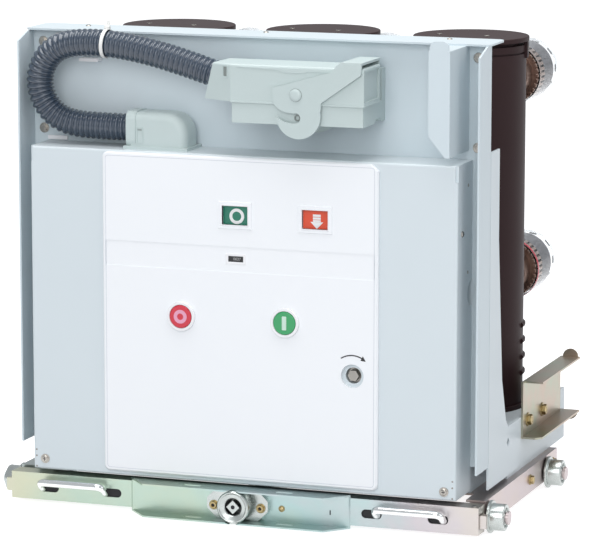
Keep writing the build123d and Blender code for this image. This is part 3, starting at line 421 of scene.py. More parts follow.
# Painted and moulded surfaces: colour, shade, roughness range, grain, bump, dust, then coat and refraction.
coatedPaints = {
    "sheetPaint": ((0.645, 0.706, 0.738), (0.615, 0.68, 0.715), (0.32, 0.45), 700.0, 0.12, 0.12),
    # framePaint is sheetPaint made darker as painted shade on the screen plate, top plate, housing and guard
    "framePaint": ((0.60, 0.675, 0.715), (0.57, 0.65, 0.69), (0.32, 0.45), 700.0, 0.12, 0.12),
    "panelFace": ((0.855, 0.87, 0.895), (0.83, 0.85, 0.88), (0.28, 0.38), 420.0, 0.08, 0.04),
    "poleEpoxy": ((0.036, 0.018, 0.019), (0.029, 0.015, 0.016), (0.42, 0.56), 260.0, 0.12, 0.02, 0.0, 1.22),
    "plugGrey": ((0.52, 0.60, 0.595), (0.48, 0.56, 0.555), (0.38, 0.5), 600.0, 0.14, 0.05),
    "conduitPlastic": ((0.040, 0.060, 0.092), (0.028, 0.044, 0.070), (0.13, 0.22), 180.0, 0.05, 0.03, 0.6),
    "tripRed": ((0.64, 0.013, 0.040), (0.54, 0.010, 0.035), (0.2, 0.3), 500.0, 0.04, 0.0, 0.3),
    "closeGreen": ((0.025, 0.34, 0.115), (0.02, 0.28, 0.09), (0.2, 0.3), 500.0, 0.04, 0.0, 0.3),
    "collarWhite": ((0.84, 0.84, 0.86), (0.80, 0.80, 0.82), (0.18, 0.26), 300.0, 0.03, 0.0),
    "signGreen": ((0.018, 0.20, 0.13), (0.014, 0.17, 0.11), (0.25, 0.35), 400.0, 0.03, 0.0),
    "signOrange": ((0.75, 0.085, 0.03), (0.70, 0.07, 0.025), (0.25, 0.35), 400.0, 0.03, 0.0),
    "signWhite": ((0.86, 0.87, 0.87), (0.82, 0.83, 0.83), (0.3, 0.4), 400.0, 0.03, 0.0),
    "markBlack": ((0.018, 0.018, 0.02), (0.014, 0.014, 0.016), (0.4, 0.55), 400.0, 0.03, 0.0),
    "nylonWhite": ((0.84, 0.84, 0.82), (0.78, 0.78, 0.76), (0.3, 0.4), 300.0, 0.05, 0.05),
    "rimShade": ((0.16, 0.17, 0.18), (0.10, 0.11, 0.12), (0.2, 0.3), 300.0, 0.02, 0.0),
    "springGrey": ((0.105, 0.102, 0.112), (0.055, 0.053, 0.060), (0.4, 0.55), 220.0, 0.4, 0.0),
    "signPink": ((0.78, 0.36, 0.50), (0.72, 0.32, 0.46), (0.25, 0.35), 400.0, 0.03, 0.0),
    "signPale": ((0.58, 0.74, 0.64), (0.52, 0.70, 0.60), (0.25, 0.35), 400.0, 0.03, 0.0),
    "digitGrey": ((0.42, 0.42, 0.42), (0.36, 0.36, 0.36), (0.3, 0.4), 400.0, 0.02, 0.0),
    # panelLine: darker panel colour as painted shade for the border groove
    "panelLine": ((0.60, 0.63, 0.68), (0.56, 0.59, 0.64), (0.35, 0.45), 400.0, 0.02, 0.0),
    "plugShade": ((0.24, 0.27, 0.26), (0.18, 0.21, 0.20), (0.4, 0.5), 400.0, 0.03, 0.0),
    # sealRubber: near black for pieces that stand in for shade in gaps and slots
    "sealRubber": ((0.012, 0.012, 0.014), (0.008, 0.008, 0.010), (0.6, 0.75), 300.0, 0.1, 0.0),
}
# Zinc and chromate: colour, strength, scale, drift and shift of the bloom, then the roughness range.
platedPaints = {
    "zincSteel": ((0.58, 0.61, 0.58), 0.6, 5.0, 0.95, 0.96),
    "zincRail": ((0.50, 0.44, 0.44), 0.45, 6.0, 0.4, 0.15),
    "goldChromate": ((0.43, 0.345, 0.205), 0.36, 16.0, 2.0, 0.5, (0.3, 0.45)),
}
# Bare metal: colour, shade, roughness range, then the scale and depth of its marks.
turnedPaints = {
    "wheelSteel": ((0.60, 0.63, 0.61), (0.38, 0.41, 0.40), (0.2, 0.34)),
    "handleChrome": ((0.86, 0.87, 0.87), (0.74, 0.75, 0.75), (0.08, 0.16), 30.0, 0.02),
    "screwSteel": ((0.58, 0.55, 0.50), (0.26, 0.24, 0.22), (0.2, 0.35)),
    "screwBrass": ((0.52, 0.42, 0.22), (0.32, 0.24, 0.12), (0.25, 0.4)),
    "shaftSteel": ((0.38, 0.36, 0.33), (0.22, 0.21, 0.20), (0.3, 0.45)),
    # darkRecess: near black as painted shade in bores, drive recesses, drill holes and slots
    "darkRecess": ((0.05, 0.05, 0.055), (0.03, 0.03, 0.033), (0.4, 0.6)),
    "contactCopper": ((0.40, 0.29, 0.24), (0.22, 0.15, 0.125), (0.3, 0.45), 120.0),
}
clearPaints = {"clearCover": 1.08, "rimClear": 1.45}
paints = {}
for make, rows in ((coatedSheet, coatedPaints), (platedSteel, platedPaints), (turnedMetal, turnedPaints)):
    for paintName, row in rows.items():
        paints[paintName] = make(paintName, *row)
for paintName, refraction in clearPaints.items():
    paints[paintName] = clearPlastic(paintName, refraction)
paintedNodes = {
    "framePaint": ("screen_plate", "top_plate", "mechanism_housing", "guard_bracket"),
    "sheetPaint": ("side_plates", "front_cover", "base_frame"),
    "panelFace": ("front_panel",),
    "poleEpoxy": ("pole_left", "pole_centre", "pole_right", "pole_caps", "pole_mounts"),
    "contactCopper": ("upper_contacts", "lower_contacts"),
    "clearCover": ("upper_contact_covers", "lower_contact_covers"),
    "zincSteel": ("front_beam", "beam_centre", "latch_bolt_left", "latch_bolt_right"),
    "wheelSteel": (
        "racking_boss", "racking_nut", "racking_screw", "wheel_front_left", "wheel_front_right",
        "wheel_rear_left", "wheel_rear_right",
    ),
    "zincRail": ("side_rails", "truck_floor", "guide_bars"),
    "handleChrome": ("pull_handle_left", "pull_handle_right"),
    "goldChromate": ("shutter_brackets",),
    "plugGrey": ("plug_shell", "plug_base", "locking_lever", "cable_gland"),
    "tripRed": ("trip_button",),
    "closeGreen": ("close_button",),
    "collarWhite": ("button_collars",),
    "signGreen": ("position_indicator",),
    "signOrange": ("charge_indicator",),
    "markBlack": ("operation_counter",),
    "shaftSteel": ("charging_shaft",),
}
for paintName, nodeNames in paintedNodes.items():
    for nodeName in nodeNames:
        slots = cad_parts[nodeName].data.materials
        slots.clear()
        slots.append(paints[paintName])
print("finishes made")

# Conduit: corrugated hose along the same points as the CAD tube.
conduit = {
    "route": [
        (-0.163, -0.26, 0.505), (-0.206, -0.26, 0.505), (-0.25, -0.262, 0.507), (-0.276, -0.264, 0.5205),
        (-0.291, -0.266, 0.546), (-0.291, -0.268, 0.5745), (-0.276, -0.2695, 0.6), (-0.2505, -0.271, 0.6135),
        (-0.206, -0.2725, 0.6165), (-0.154, -0.2745, 0.611), (-0.092, -0.2775, 0.5975),
        (-0.036, -0.2805, 0.581),
    ],
    "length": 0.45,
    "crest": 0.018,
    "valley": 0.0151,
    "pitch": 0.0072,
    "ringsPerPitch": 8,
    "around": 44,
    "tieAt": 0.286,
    "tieWidth": 0.0045,
    "tieThickness": 0.0012,
    "tieHead": (0.0062, 0.0050, 0.0008),
    "tieTail": (0.0012, 0.0110, 0.0003),
    "tailPlace": (0.0022, 0.004, 0),
}


def centreline(points):
    curve = bpy.data.curves.new("route", "CURVE")
    curve.dimensions = "3D"
    curve.resolution_u = 24
    spline = curve.splines.new("NURBS")
    spline.points.add(len(points) - 1)
    for target, point in zip(spline.points, points):
        target.co = (*point, 1.0)
    spline.order_u = 3
    spline.use_endpoint_u = True
    mesh = curveMesh(curve)
    line = [vertex.co.copy() for vertex in mesh.vertices]
    bpy.data.meshes.remove(mesh)
    return line


def evenSteps(line, step):
    # points a step apart along a line, both ends kept
    lengths = [0.0]
    for before, after in zip(line, line[1:]):
        lengths.append(lengths[-1] + (after - before).length)
    count = max(2, round(lengths[-1] / step))
    points = []
    segment = 0
    for i in range(count + 1):
        target = lengths[-1] * i / count
        while segment < len(line) - 2 and lengths[segment + 1] < target:
            segment += 1
        span = lengths[segment + 1] - lengths[segment]
        points.append(line[segment].lerp(line[segment + 1], (target - lengths[segment]) / span))
    return points, lengths[-1]


def makeConduit():
    line = centreline(conduit["route"])
    path, total = evenSteps(line, conduit["pitch"] / conduit["ringsPerPitch"])
    depth = conduit["crest"] - conduit["valley"]

    def radiusAt(index):
        if index == 0 or index == len(path) - 1:
            return conduit["valley"]
        wave = 0.5 - 0.5 * cos(2 * pi * index / conduit["ringsPerPitch"])
        return conduit["valley"] + depth * wave ** 0.6

    bm = bmesh.new()
    addTube(bm, path, radiusAt, conduit["around"])
    hose = finishMesh(bm, "corrugatedConduit", "conduitPlastic", sharpAngle=180)
    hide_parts("conduit")
    middle = min(range(len(path)), key=lambda i: abs(total * i / (len(path) - 1) - conduit["tieAt"]))
    along = (path[middle + 1] - path[middle - 1]).normalized()
    tie = bmesh.new()
    inner = conduit["crest"] + 0.0002
    outer = inner + conduit["tieThickness"]
    half = conduit["tieWidth"] / 2
    place = aim(path[middle], along)
    addRing(tie, place, inner, outer, -half, half)
    head = place @ Matrix.Translation((0, outer + 0.0015, 0))
    addPrism(tie, boxOutline(*conduit["tieHead"], 2), head, -0.0035, 0.0035, 0.0005)
    tail = head @ Matrix.Translation(conduit["tailPlace"])
    addPrism(tie, boxOutline(*conduit["tieTail"], 1), tail, -0.002, 0.002, 0.0003)
    band = finishMesh(tie, "cableTie", "nylonWhite")
    print("conduit", round(total, 4))


makeConduit()

# Planes of the front that the small pieces sit on, and the pole places, in metres.
frontFacing = (0.0, -1.0, 0.0)
upward = (0.0, 0.0, 1.0)
rearward = (0.0, 1.0, 0.0)
sides = (-1, 1)
panelThickness = 0.006
plugReach = 0.026
bossReach = 0.030
poleSetback = 0.327
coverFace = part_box("front_cover")[0][1]
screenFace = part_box("front_cover")[1][1]
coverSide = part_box("front_cover")[1][0]
panelFace = coverFace - panelThickness
plugFace = coverFace - plugReach
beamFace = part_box("front_beam")[0][1]
bossFace = beamFace - bossReach
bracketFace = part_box("screen_plate")[1][0]
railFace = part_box("front_beam")[1][0]
polePlaces = (-0.21, 0.0, 0.21)
poleAxisY = coverFace + poleSetback
contactHeights = (0.262, 0.537)


def crossOutline(reach, width):
    half = width / 2
    return [
        (-half, -reach), (half, -reach), (half, -half), (reach, -half), (reach, half), (half, half),
        (half, reach), (-half, reach), (-half, half), (-reach, half), (-reach, -half), (-half, -half),
    ]


washerThickness = 0.0012


def addFastener(bm, marks, row, place):
    # head, washer and drive of one screw, bolt or rivet; the drive recess is a flat near-black mark of painted
    # shade
    radius, height = row["radius"], row["height"]
    seat = 0.0
    if "washer" in row:
        seat = washerThickness
        rim = row["washer"]
        addLathe(bm, [(0, 0), (rim, 0), (rim, seat * 0.7), (rim * 0.93, seat), (0, seat)], place, 28)
    top = seat + height
    if row["kind"] == "hex":
        addPrism(bm, circleOutline(radius, 6, radians(10)), place, seat, top, radius * 0.1, 2)
        boss = top + 0.0003
        addLathe(bm, [(0, top), (radius * 0.5, top), (radius * 0.42, boss), (0, boss)], place, 20)
    elif row["kind"] == "socket":
        bore = radius * 0.52
        addLathe(bm, [
            (0, seat), (radius, seat), (radius, top - 0.0006), (radius - 0.0006, top),
            (bore, top), (bore, seat + height * 0.3), (0, seat + height * 0.3),
        ], place, 28)
        addPrism(marks, circleOutline(bore * 0.96, 6), place, seat + height * 0.3, seat + height * 0.36)
    else:
        addLathe(bm, [
            (0, seat), (radius, seat), (radius, seat + height * 0.35), (radius * 0.82, seat + height * 0.78),
            (radius * 0.45, top), (0, top),
        ], place, 24)
        if row["kind"] == "pan":
            addPrism(marks, crossOutline(radius * 0.55, radius * 0.2), place, top - 0.0003, top + 0.00008)


fasteners = {
    "coverScrews": {
        "kind": "pan", "radius": 0.0046, "height": 0.0022, "washer": 0.0062,
        "places": [((x, coverFace, z), frontFacing) for x, z in ((-0.276, 0.062), (0.277, 0.0595))],
    },
    "screenBolts": {
        "kind": "hex", "radius": 0.0048, "height": 0.0032, "washer": 0.0068,
        "places": [((x, screenFace, z), frontFacing) for x in (-0.300, 0.299) for z in (0.4955, 0.6105)],
    },
    "coverSideScrews": {
        "kind": "pan", "radius": 0.0042, "height": 0.0022,
        "places": [((s * coverSide, coverFace + 0.020, 0.3906), (s, 0, 0)) for s in sides],
    },
    "coverSideRivets": {
        "kind": "rivet", "radius": 0.0022, "height": 0.0009,
        "places": [((s * coverSide, coverFace + 0.045, z), (s, 0, 0)) for s in sides for z in (0.338, 0.450)],
    },
    "cornerRivets": {
        "kind": "rivet", "finish": "shaftSteel", "radius": 0.0012, "height": 0.0006,
        "places": [
            ((s * (coverSide - 0.0042), coverFace, z), frontFacing)
            for s in sides for z in (0.0513, 0.0653, 0.0736)
        ],
    },
    "bracketBolts": {
        "kind": "hex", "finish": "screwBrass", "radius": 0.0074, "height": 0.0052, "washer": 0.0094,
        "places": [
            ((s * bracketFace, coverFace + y, 0.107), (s, 0, 0)) for s in sides for y in (0.252, 0.322)
        ],
    },
    "bossBolts": {
        "kind": "socket", "body": "racking_beam", "finish": "screwBrass",
        "radius": 0.0050, "height": 0.0034, "washer": 0.0064,
        "places": [((x, beamFace - 0.010, 0.0212), frontFacing) for x in (-0.0325, 0.0325)],
    },
    "beamRivet": {
        "kind": "rivet", "body": "racking_beam", "finish": "screwBrass",
        "radius": 0.0032, "height": 0.0013, "washer": 0.0042,
        "places": [((0.0585, beamFace - 0.002, 0.021), frontFacing)],
    },
    "beamTopScrew": {
        "kind": "pan", "body": "racking_beam", "finish": "shaftSteel", "radius": 0.0042, "height": 0.0014,
        "places": [((0.3165, coverFace + 0.0057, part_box("front_beam")[1][2]), upward)],
    },
    "railBolts": {
        "kind": "hex", "finish": "screwBrass", "radius": 0.0058, "height": 0.0040, "washer": 0.0072,
        "places": [((s * railFace, coverFace + y, 0.0275), (s, 0, 0)) for s in sides for y in (0.240, 0.352)],
    },
    "discScrews": {
        "kind": "pan", "radius": 0.0036, "height": 0.0010,
        "places": [
            ((x + dx, poleAxisY + dy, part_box("pole_caps")[1][2]), upward)
            for x in polePlaces for dx, dy in ((-0.0437, -0.002), (0.0235, -0.0056))
        ],
    },
    "armBolts": {
        "kind": "hex", "radius": 0.0052, "height": 0.0042,
        "places": [
            ((x + 0.032 * cos(a), poleAxisY + 0.100, z + 0.032 * sin(a)), rearward)
            for x in polePlaces for z in contactHeights for a in (pi / 4, 3 * pi / 4, 5 * pi / 4, 7 * pi / 4)
        ],
    },
    "baseRearScrews": {
        "kind": "pan", "radius": 0.0050, "height": 0.0024, "washer": 0.0068,
        "places": [
            ((x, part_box("base_frame")[1][1], 0.0755), rearward) for x in (-0.285, -0.105, 0.105, 0.285)
        ],
    },
    "housingScrews": {
        "kind": "pan", "radius": 0.0042, "height": 0.0022,
        "places": [
            ((x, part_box("mechanism_housing")[1][1], z), rearward)
            for x in (-0.272, -0.105, 0.105, 0.272) for z in (0.135, 0.295, 0.455)
        ],
    },
    "topScrews": {
        "kind": "pan", "radius": 0.0036, "height": 0.0016,
        "places": [((x, screenFace + 0.034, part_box("top_plate")[1][2]), upward) for x in (-0.25, 0.0, 0.25)],
    },
}


def makeFasteners():
    for name, row in fasteners.items():
        heads, marks = bmesh.new(), bmesh.new()
        body = row.get("body", "breaker")
        for origin, direction in row["places"]:
            addFastener(heads, marks, row, aim(origin, direction))
        finishMesh(heads, name, row.get("finish", "screwSteel"), body)
        if len(marks.faces):
            finishMesh(marks, name + "DriveShade", "darkRecess", body)
        else:
            marks.free()
    print("fasteners", len(fasteners))


makeFasteners()

# Moulded panel: border groove drawn as a thin darker line of painted shade, window mouldings, signs, counter
# and charging arrow.
panel = {
    "lineInset": 0.0045,
    "lineWidth": 0.0006,
    "lineRise": 0.00018,
    "windowSize": (0.035, 0.0245),
    "windowHeight": 0.403,
    "windowPlaces": (-0.0045, 0.1045),
    "windowLip": 0.0017,
    "windowRise": 0.0015,
    "signDepth": 0.002,
    "ringCentre": (-0.0035, 0.4015),
    "ringRadii": (0.0061, 0.0101),
    "arrowCentre": (0.1055, 0.4022),
    "arrowBars": ((0.0040, 0.0072), (0.0006, 0.0034), (-0.0024, 0.0)),
    "arrowHalf": 0.0053,
    "arrowTip": [(-0.0088, -0.0026), (0.0, -0.0114), (0.0088, -0.0026)],
    "signRise": (-0.0002, 0.0004),
    "inkRise": (-0.0001, 0.00025),
    "counterCentre": (-0.004, 0.346),
    "counterSize": (0.0205, 0.0075),
    "counterFrame": (0.028, 0.0145),
    "bandDepth": 0.0008,
    "digits": "0037",
    "digitSize": 0.0052,
    "turnCentre": (0.155, 0.203),
    "turnRadius": 0.0272,
    "turnAngles": (124.0, 62.0),
    "turnWidth": 0.0016,
    "turnHead": (0.0034, 0.0068),
}


def addDigits(bm, text, size, place):
    curve = bpy.data.curves.new("digits", "FONT")
    curve.body = text
    curve.size = size
    curve.align_x = "CENTER"
    curve.align_y = "CENTER"
    curve.extrude = 0.00008
    curve.resolution_u = 3
    mesh = curveMesh(curve)
    mesh.transform(place)
    bm.from_mesh(mesh)
    bpy.data.meshes.remove(mesh)


def makePanelTrim():
    lo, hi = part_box("front_panel")
    width = hi[0] - lo[0] - 2 * panel["lineInset"]
    height = hi[2] - lo[2] - 2 * panel["lineInset"]
    middle = aim(((lo[0] + hi[0]) / 2, panelFace, (lo[2] + hi[2]) / 2), frontFacing)
    innerWidth, innerHeight = width - 2 * panel["lineWidth"], height - 2 * panel["lineWidth"]
    bm = bmesh.new()
    addFrame(bm, [
        (width, height, 0.004, -0.0002),
        (width, height, 0.004, panel["lineRise"]),
        (innerWidth, innerHeight, 0.0035, panel["lineRise"]),
        (innerWidth, innerHeight, 0.0035, -0.0002),
    ], middle)
    finishMesh(bm, "panelBorder", "panelLine")
    bm = bmesh.new()
    w, h = panel["windowSize"]
    lip, rise = panel["windowLip"], panel["windowRise"]
    for x in panel["windowPlaces"]:
        addFrame(bm, [
            (w + 2 * lip, h + 2 * lip, 0.0008, rise - 0.0003),
            (w + 2 * lip - 0.0006, h + 2 * lip - 0.0006, 0.0008, rise + 0.0004),
            (w + 0.0004, h + 0.0004, 0.0005, rise + 0.0004),
            (w, h, 0.0004, rise - 0.0006),
            (w, h, 0.0004, -0.0034),
            (w + 0.0006, h + 0.0006, 0.0004, -0.0034),
        ], aim((x, panelFace, panel["windowHeight"]), frontFacing))
    w, h = panel["counterSize"]
    fw, fh = panel["counterFrame"]
    low, high = -panel["bandDepth"] - 0.0002, -panel["bandDepth"] + 0.0006
    x, z = panel["counterCentre"]
    addFrame(bm, [
        (fw, fh, 0.0006, low),
        (fw - 0.0012, fh - 0.0012, 0.0006, high),
        (w + 0.0012, h + 0.0012, 0.0004, high),
        (w, h, 0.0003, low),
    ], aim((x, panelFace, z), frontFacing))
    finishMesh(bm, "windowMouldings", "collarWhite")


def makeSigns():
    signPlane = coverFace - panel["signDepth"]
    bm = bmesh.new()
    x, z = panel["ringCentre"]
    addRing(bm, aim((x, signPlane, z), frontFacing), *panel["ringRadii"], *panel["signRise"], 48)
    x, z = panel["arrowCentre"]
    arrow = aim((x, signPlane, z), frontFacing)
    half = panel["arrowHalf"]
    for low, high in panel["arrowBars"]:
        outline = [(-half, low), (half, low), (half, high), (-half, high)]
        addPrism(bm, outline, arrow, *panel["signRise"], 0.0001, 1)
    addPrism(bm, panel["arrowTip"], arrow, *panel["signRise"], 0.0001, 1)
    finishMesh(bm, "indicatorMarks", "signWhite")
    bm = bmesh.new()
    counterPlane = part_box("operation_counter")[0][1]
    x, z = panel["counterCentre"]
    digitPlace = aim((x + 0.0018, counterPlane - 0.00008, z), frontFacing)
    addDigits(bm, panel["digits"], panel["digitSize"], digitPlace)
    finishMesh(bm, "counterDigits", "digitGrey", sharpAngle=20)
    bm = bmesh.new()
    x, z = panel["turnCentre"]
    radius, half = panel["turnRadius"], panel["turnWidth"] / 2
    start, end = (radians(a) for a in panel["turnAngles"])
    sweep = [start + (end - start) * i / 16 for i in range(17)]
    outer = [((radius + half) * cos(a), (radius + half) * sin(a)) for a in sweep]
    inner = [((radius - half) * cos(a), (radius - half) * sin(a)) for a in reversed(sweep)]
    centre = aim((x, panelFace, z), frontFacing)
    addPrism(bm, list(reversed(outer + inner)), centre, *panel["inkRise"])
    wide, long = panel["turnHead"]
    tip = end - long / radius
    corners = ((radius - wide, end), (radius, tip), (radius + wide, end))
    addPrism(bm, [(r * cos(a), r * sin(a)) for r, a in corners], centre, *panel["inkRise"])
    finishMesh(bm, "chargingArrow", "markBlack")


makePanelTrim()
makeSigns()
print("panel trim and signs")

# Push buttons: O ring on the trip button, I bar on the close button.
buttons = {
    "face": panelFace - 0.0045,
    "height": 0.267,
    "trip": -0.079,
    "close": 0.064,
    "ring": (0.0043, 0.0090),
    "bar": (0.0060, 0.0180),
    "rise": (-0.0002, 0.0003),
}


def makeButtonMarks():
    bm = bmesh.new()
    trip = aim((buttons["trip"], buttons["face"], buttons["height"]), frontFacing)
    addRing(bm, trip, *buttons["ring"], *buttons["rise"], 48)
    finishMesh(bm, "tripRing", "signPink", "trip_push")
    bm = bmesh.new()
    close = aim((buttons["close"], buttons["face"], buttons["height"]), frontFacing)
    addPrism(bm, boxOutline(*buttons["bar"], 0.0008, 3), close, *buttons["rise"], 0.0001, 1)
    finishMesh(bm, "closeBar", "signPale", "close_push")


makeButtonMarks()

# Racking boss: painted shade in the bore and on the drilled end of the square, and a small dark mark on the
# cross-beam's face in the same near-black paint.
boss = {
    "centre": 0.02375,
    "bore": (0.0108, 0.0114),
    "depth": (-0.024, -0.0045),
    "square": 0.003,
    "drill": 0.0021,
    "beamMark": (0.0016, 0.0062),
    "markPlace": (0.125, 0.0212),
    "shadeStripSize": (0.56, 0.036),
    "shadeStripPlace": (0, coverFace + 0.050, 0.0448),
}


def makeBossDetail():
    bm = bmesh.new()
    addRing(bm, aim((0, bossFace, boss["centre"]), frontFacing), *boss["bore"], *boss["depth"])
    x, z = boss["markPlace"]
    place = aim((x, beamFace - 0.002, z), frontFacing)
    addPrism(bm, boxOutline(*boss["beamMark"], 0.0004, 2), place, -0.0002, 0.0002)
    finishMesh(bm, "bossBoreShade", "darkRecess", "racking_beam")
    # near-black disc and ring: painted shade in the centre drill of the square end
    bm = bmesh.new()
    place = aim((0, bossFace + boss["square"], boss["centre"]), frontFacing)
    drill = boss["drill"]
    addRing(bm, place, drill, drill + 0.0006, -0.0002, 0.0002, 24)
    addLathe(bm, [(0, -0.0002), (drill, -0.0002), (drill, 0.0001), (0, 0.0001)], place, 24)
    finishMesh(bm, "squareDrillShade", "darkRecess", "racking_spindle")
    # black strip under the front cover: painted shade for the dark gap between the cover and the beam
    bm = bmesh.new()
    outline = boxOutline(*boss["shadeStripSize"], 0.002, 2)
    addPrism(bm, outline, aim(boss["shadeStripPlace"], upward), -0.0014, 0.0030, 0.0004, 1)
    finishMesh(bm, "underCoverShadeStrip", "sealRubber")


makeBossDetail()

# Dark plates that travel with the latch bolts and close the beam's slots from behind: painted shade for the
# dark slots.
slotShades = {"middle": 0.2325, "size": (0.135, 0.024), "centre": 0.023, "rear": 0.0032, "thick": 0.0008}


def makeSlotShadePlates():
    for side, name in zip(sides, ("left", "right")):
        bm = bmesh.new()
        place = aim((side * slotShades["middle"], beamFace + slotShades["rear"], slotShades["centre"]), frontFacing)
        addPrism(bm, boxOutline(*slotShades["size"], 0.002, 2), place, 0.0, slotShades["thick"])
        finishMesh(bm, f"slotShade_{name}", "sealRubber", f"latch_{name}")


makeSlotShadePlates()
print("buttons and boss")

# Secondary plug and gland: lid skirt, split ridge, latch windows and cam peg.
plug = {
    "left": -0.003, "right": 0.176, "split": 0.553, "rear": coverFace + 0.040,
    "skirt": [
        (0.006, 0.5975), (0.062, 0.5955), (0.068, 0.5923), (0.097, 0.5923), (0.102, 0.5950), (0.174, 0.5945),
        (0.174, 0.5985), (0.006, 0.5985),
    ],
    "skirtRise": 0.0008,
    "ridge": (0.0024, 0.0007),
    "latch": {
        "place": ((-0.0115, coverFace - 0.0221, 0.5905), (-0.423, -0.906, 0)),
        "outer": (0.0092, 0.0165, 0.0008), "inner": (0.0068, 0.0138, 0.0006), "levels": (-0.0004, 0.0007),
    },
    "catch": {
        "place": ((-0.1438, coverFace + 0.0145, 0.4985), frontFacing),
        "outer": (0.0088, 0.0205, 0.0008), "inner": (0.0070, 0.0187, 0.0006), "levels": (-0.0004, 0.0009),
    },
    "latchSlot": (0.0056, 0.0120, 0.0004),
    "catchSlot": (0.0058, 0.0012, 0.0003),
    "catchSlotRise": 0.0068,
    "peg": (0.0875, 0.5355),
    "pegRadii": (0.002604, 0.0042),
}


def makePlugDetail():
    bm = bmesh.new()
    facePlace = aim((0, plugFace, 0), frontFacing)
    addPrism(bm, plug["skirt"], facePlace, -0.0004, plug["skirtRise"], 0.0002, 1)
    tall, proud = plug["ridge"]
    middleX = (plug["left"] + plug["right"]) / 2
    middleY = (plugFace + plug["rear"]) / 2
    ridges = (
        (plug["right"] - plug["left"], (middleX, plugFace, plug["split"]), frontFacing),
        (plug["rear"] - plugFace, (plug["right"], middleY, plug["split"]), (1, 0, 0)),
    )
    for length, origin, direction in ridges:
        addPrism(bm, boxOutline(length, tall, 0.0003, 2), aim(origin, direction), -0.0003, proud, 0.0002, 1)
    for row in (plug["latch"], plug["catch"]):
        low, high = row["levels"]
        loops = [(*row["outer"], low), (*row["outer"], high), (*row["inner"], high), (*row["inner"], low)]
        addFrame(bm, loops, aim(*row["place"]))
    finishMesh(bm, "plugMouldings", "plugGrey")
    bm = bmesh.new()
    addPrism(bm, boxOutline(*plug["latchSlot"], 2), aim(*plug["latch"]["place"]), -0.0006, 0.0001)
    slotPlace = aim(*plug["catch"]["place"]) @ Matrix.Translation((0, plug["catchSlotRise"], 0))
    addPrism(bm, boxOutline(*plug["catchSlot"], 2), slotPlace, 0.0002, 0.0008)
    x, z = plug["peg"]
    addRing(bm, aim((x, plugFace + 0.0015, z), frontFacing), *plug["pegRadii"], -0.0002, 0.0022, 32)
    finishMesh(bm, "plugShadows", "plugShade")


makePlugDetail()

# Pivot of the locking lever: a low dome in a thin groove, the groove a flat dark ring of painted shade.
lever = {
    "pivot": (0.0865, 0.565),
    "face": coverFace - 0.0308,
    "dome": 0.0076,
    "rise": 0.0030,
    "flat": 0.35,
    "groove": 0.0009,
}


def makePivotDome():
    bm = bmesh.new()
    x, z = lever["pivot"]
    place = aim((x, lever["face"], z), frontFacing)
    radius, rise, flat = lever["dome"], lever["rise"], lever["flat"]
    profile = [(radius, -0.0003)]
    for angle in (radians(90 * i / 8) for i in range(9)):
        profile.append((radius * (flat + (1 - flat) * cos(angle)), rise * (flat + (1 - flat) * sin(angle))))
    addLathe(bm, profile + [(0, rise)], place, 40)
    finishMesh(bm, "pivotDome", "plugGrey", "plug_lever")
    bm = bmesh.new()
    addRing(bm, place, radius + 0.0001, radius + lever["groove"], -0.0002, 0.00015, 40)
    finishMesh(bm, "pivotGroove", "plugShade", "plug_lever")


makePivotDome()

# Small clips that hold the conduit to the screen plate.
clips = {
    "saddle": {"centre": (-0.230, 0.5895), "size": (0.027, 0.0042), "reach": 0.016},
    "foot": {"centre": (-0.280, 0.4835), "size": (0.028, 0.0052), "reach": 0.0034},
    "tab": {"centre": (-0.2735, 0.6175), "size": (0.019, 0.0092), "reach": 0.0012},
}


def makeClips():
    bm = bmesh.new()
    for row in clips.values():
        x, z = row["centre"]
        place = aim((x, screenFace, z), frontFacing)
        addPrism(bm, boxOutline(*row["size"], 0.0012, 3), place, -0.0002, row["reach"], 0.0005, 2)
    finishMesh(bm, "conduitClips", "collarWhite")


makeClips()
print("plug, gland and clips")

# Wheels: flanged rollers with a dished outer face round the axle head.
wheel = {"flange": 0.0215, "tread": 0.0175, "dish": 0.0130, "hub": 0.0098, "bore": 0.0064}


def rollerProfile(span):
    flange, tread, dish, hub, bore = (wheel[key] for key in ("flange", "tread", "dish", "hub", "bore"))
    return [
        (bore, 0), (flange - 0.0010, 0), (flange, 0.0010), (flange, 0.0030), (flange - 0.0010, 0.0040),
        (tread + 0.0006, 0.0042), (tread, 0.0050), (tread, span - 0.0014), (tread - 0.0005, span - 0.0004),
        (tread - 0.0014, span), (dish + 0.0006, span), (dish, span - 0.0006), (dish - 0.0006, span - 0.0026),
        (hub + 0.0004, span - 0.0028), (hub, span - 0.0008), (hub - 0.0006, span - 0.0002),
        (bore, span - 0.0002), (bore, 0),
    ]


def makeWheels():
    for side, sideName in zip(sides, ("left", "right")):
        for endName in ("front", "rear"):
            node = f"wheel_{endName}_{sideName}"
            lo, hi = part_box(node)
            inner, outer = (lo[0], hi[0]) if side > 0 else (hi[0], lo[0])
            place = aim((inner, (lo[1] + hi[1]) / 2, (lo[2] + hi[2]) / 2), (side, 0, 0))
            bm = bmesh.new()
            addLathe(bm, rollerProfile(abs(outer - inner)), place, 56)
            name = f"roller_{endName}_{sideName}"
            roller = finishMesh(bm, name, "wheelSteel", f"{node}_body", 28)
            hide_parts(node)


makeWheels()

# Contacts: garter springs and a grey band round the fingers, with a lipped rim in the clear cover.
contact = {
    "bandFrom": 0.2225, "bandTo": 0.268, "bandRadii": (0.0386, 0.0397),
    "barsFrom": 0.1900, "barsTo": 0.2220, "barCount": 34, "barRadius": 0.0384, "barSize": (0.0038, 0.0046),
    "springAt": (0.2245, 0.2660), "springRadius": 0.0014,
    "rimAt": (0.2855, 0.2975), "rimRadii": (0.0396, 0.0300), "rimWire": 0.0008,
    "ventCount": 9, "ventAt": 0.2925, "ventRadius": 0.0358, "ventSize": (0.0032, 0.0110), "ventTilt": 48.0,
}


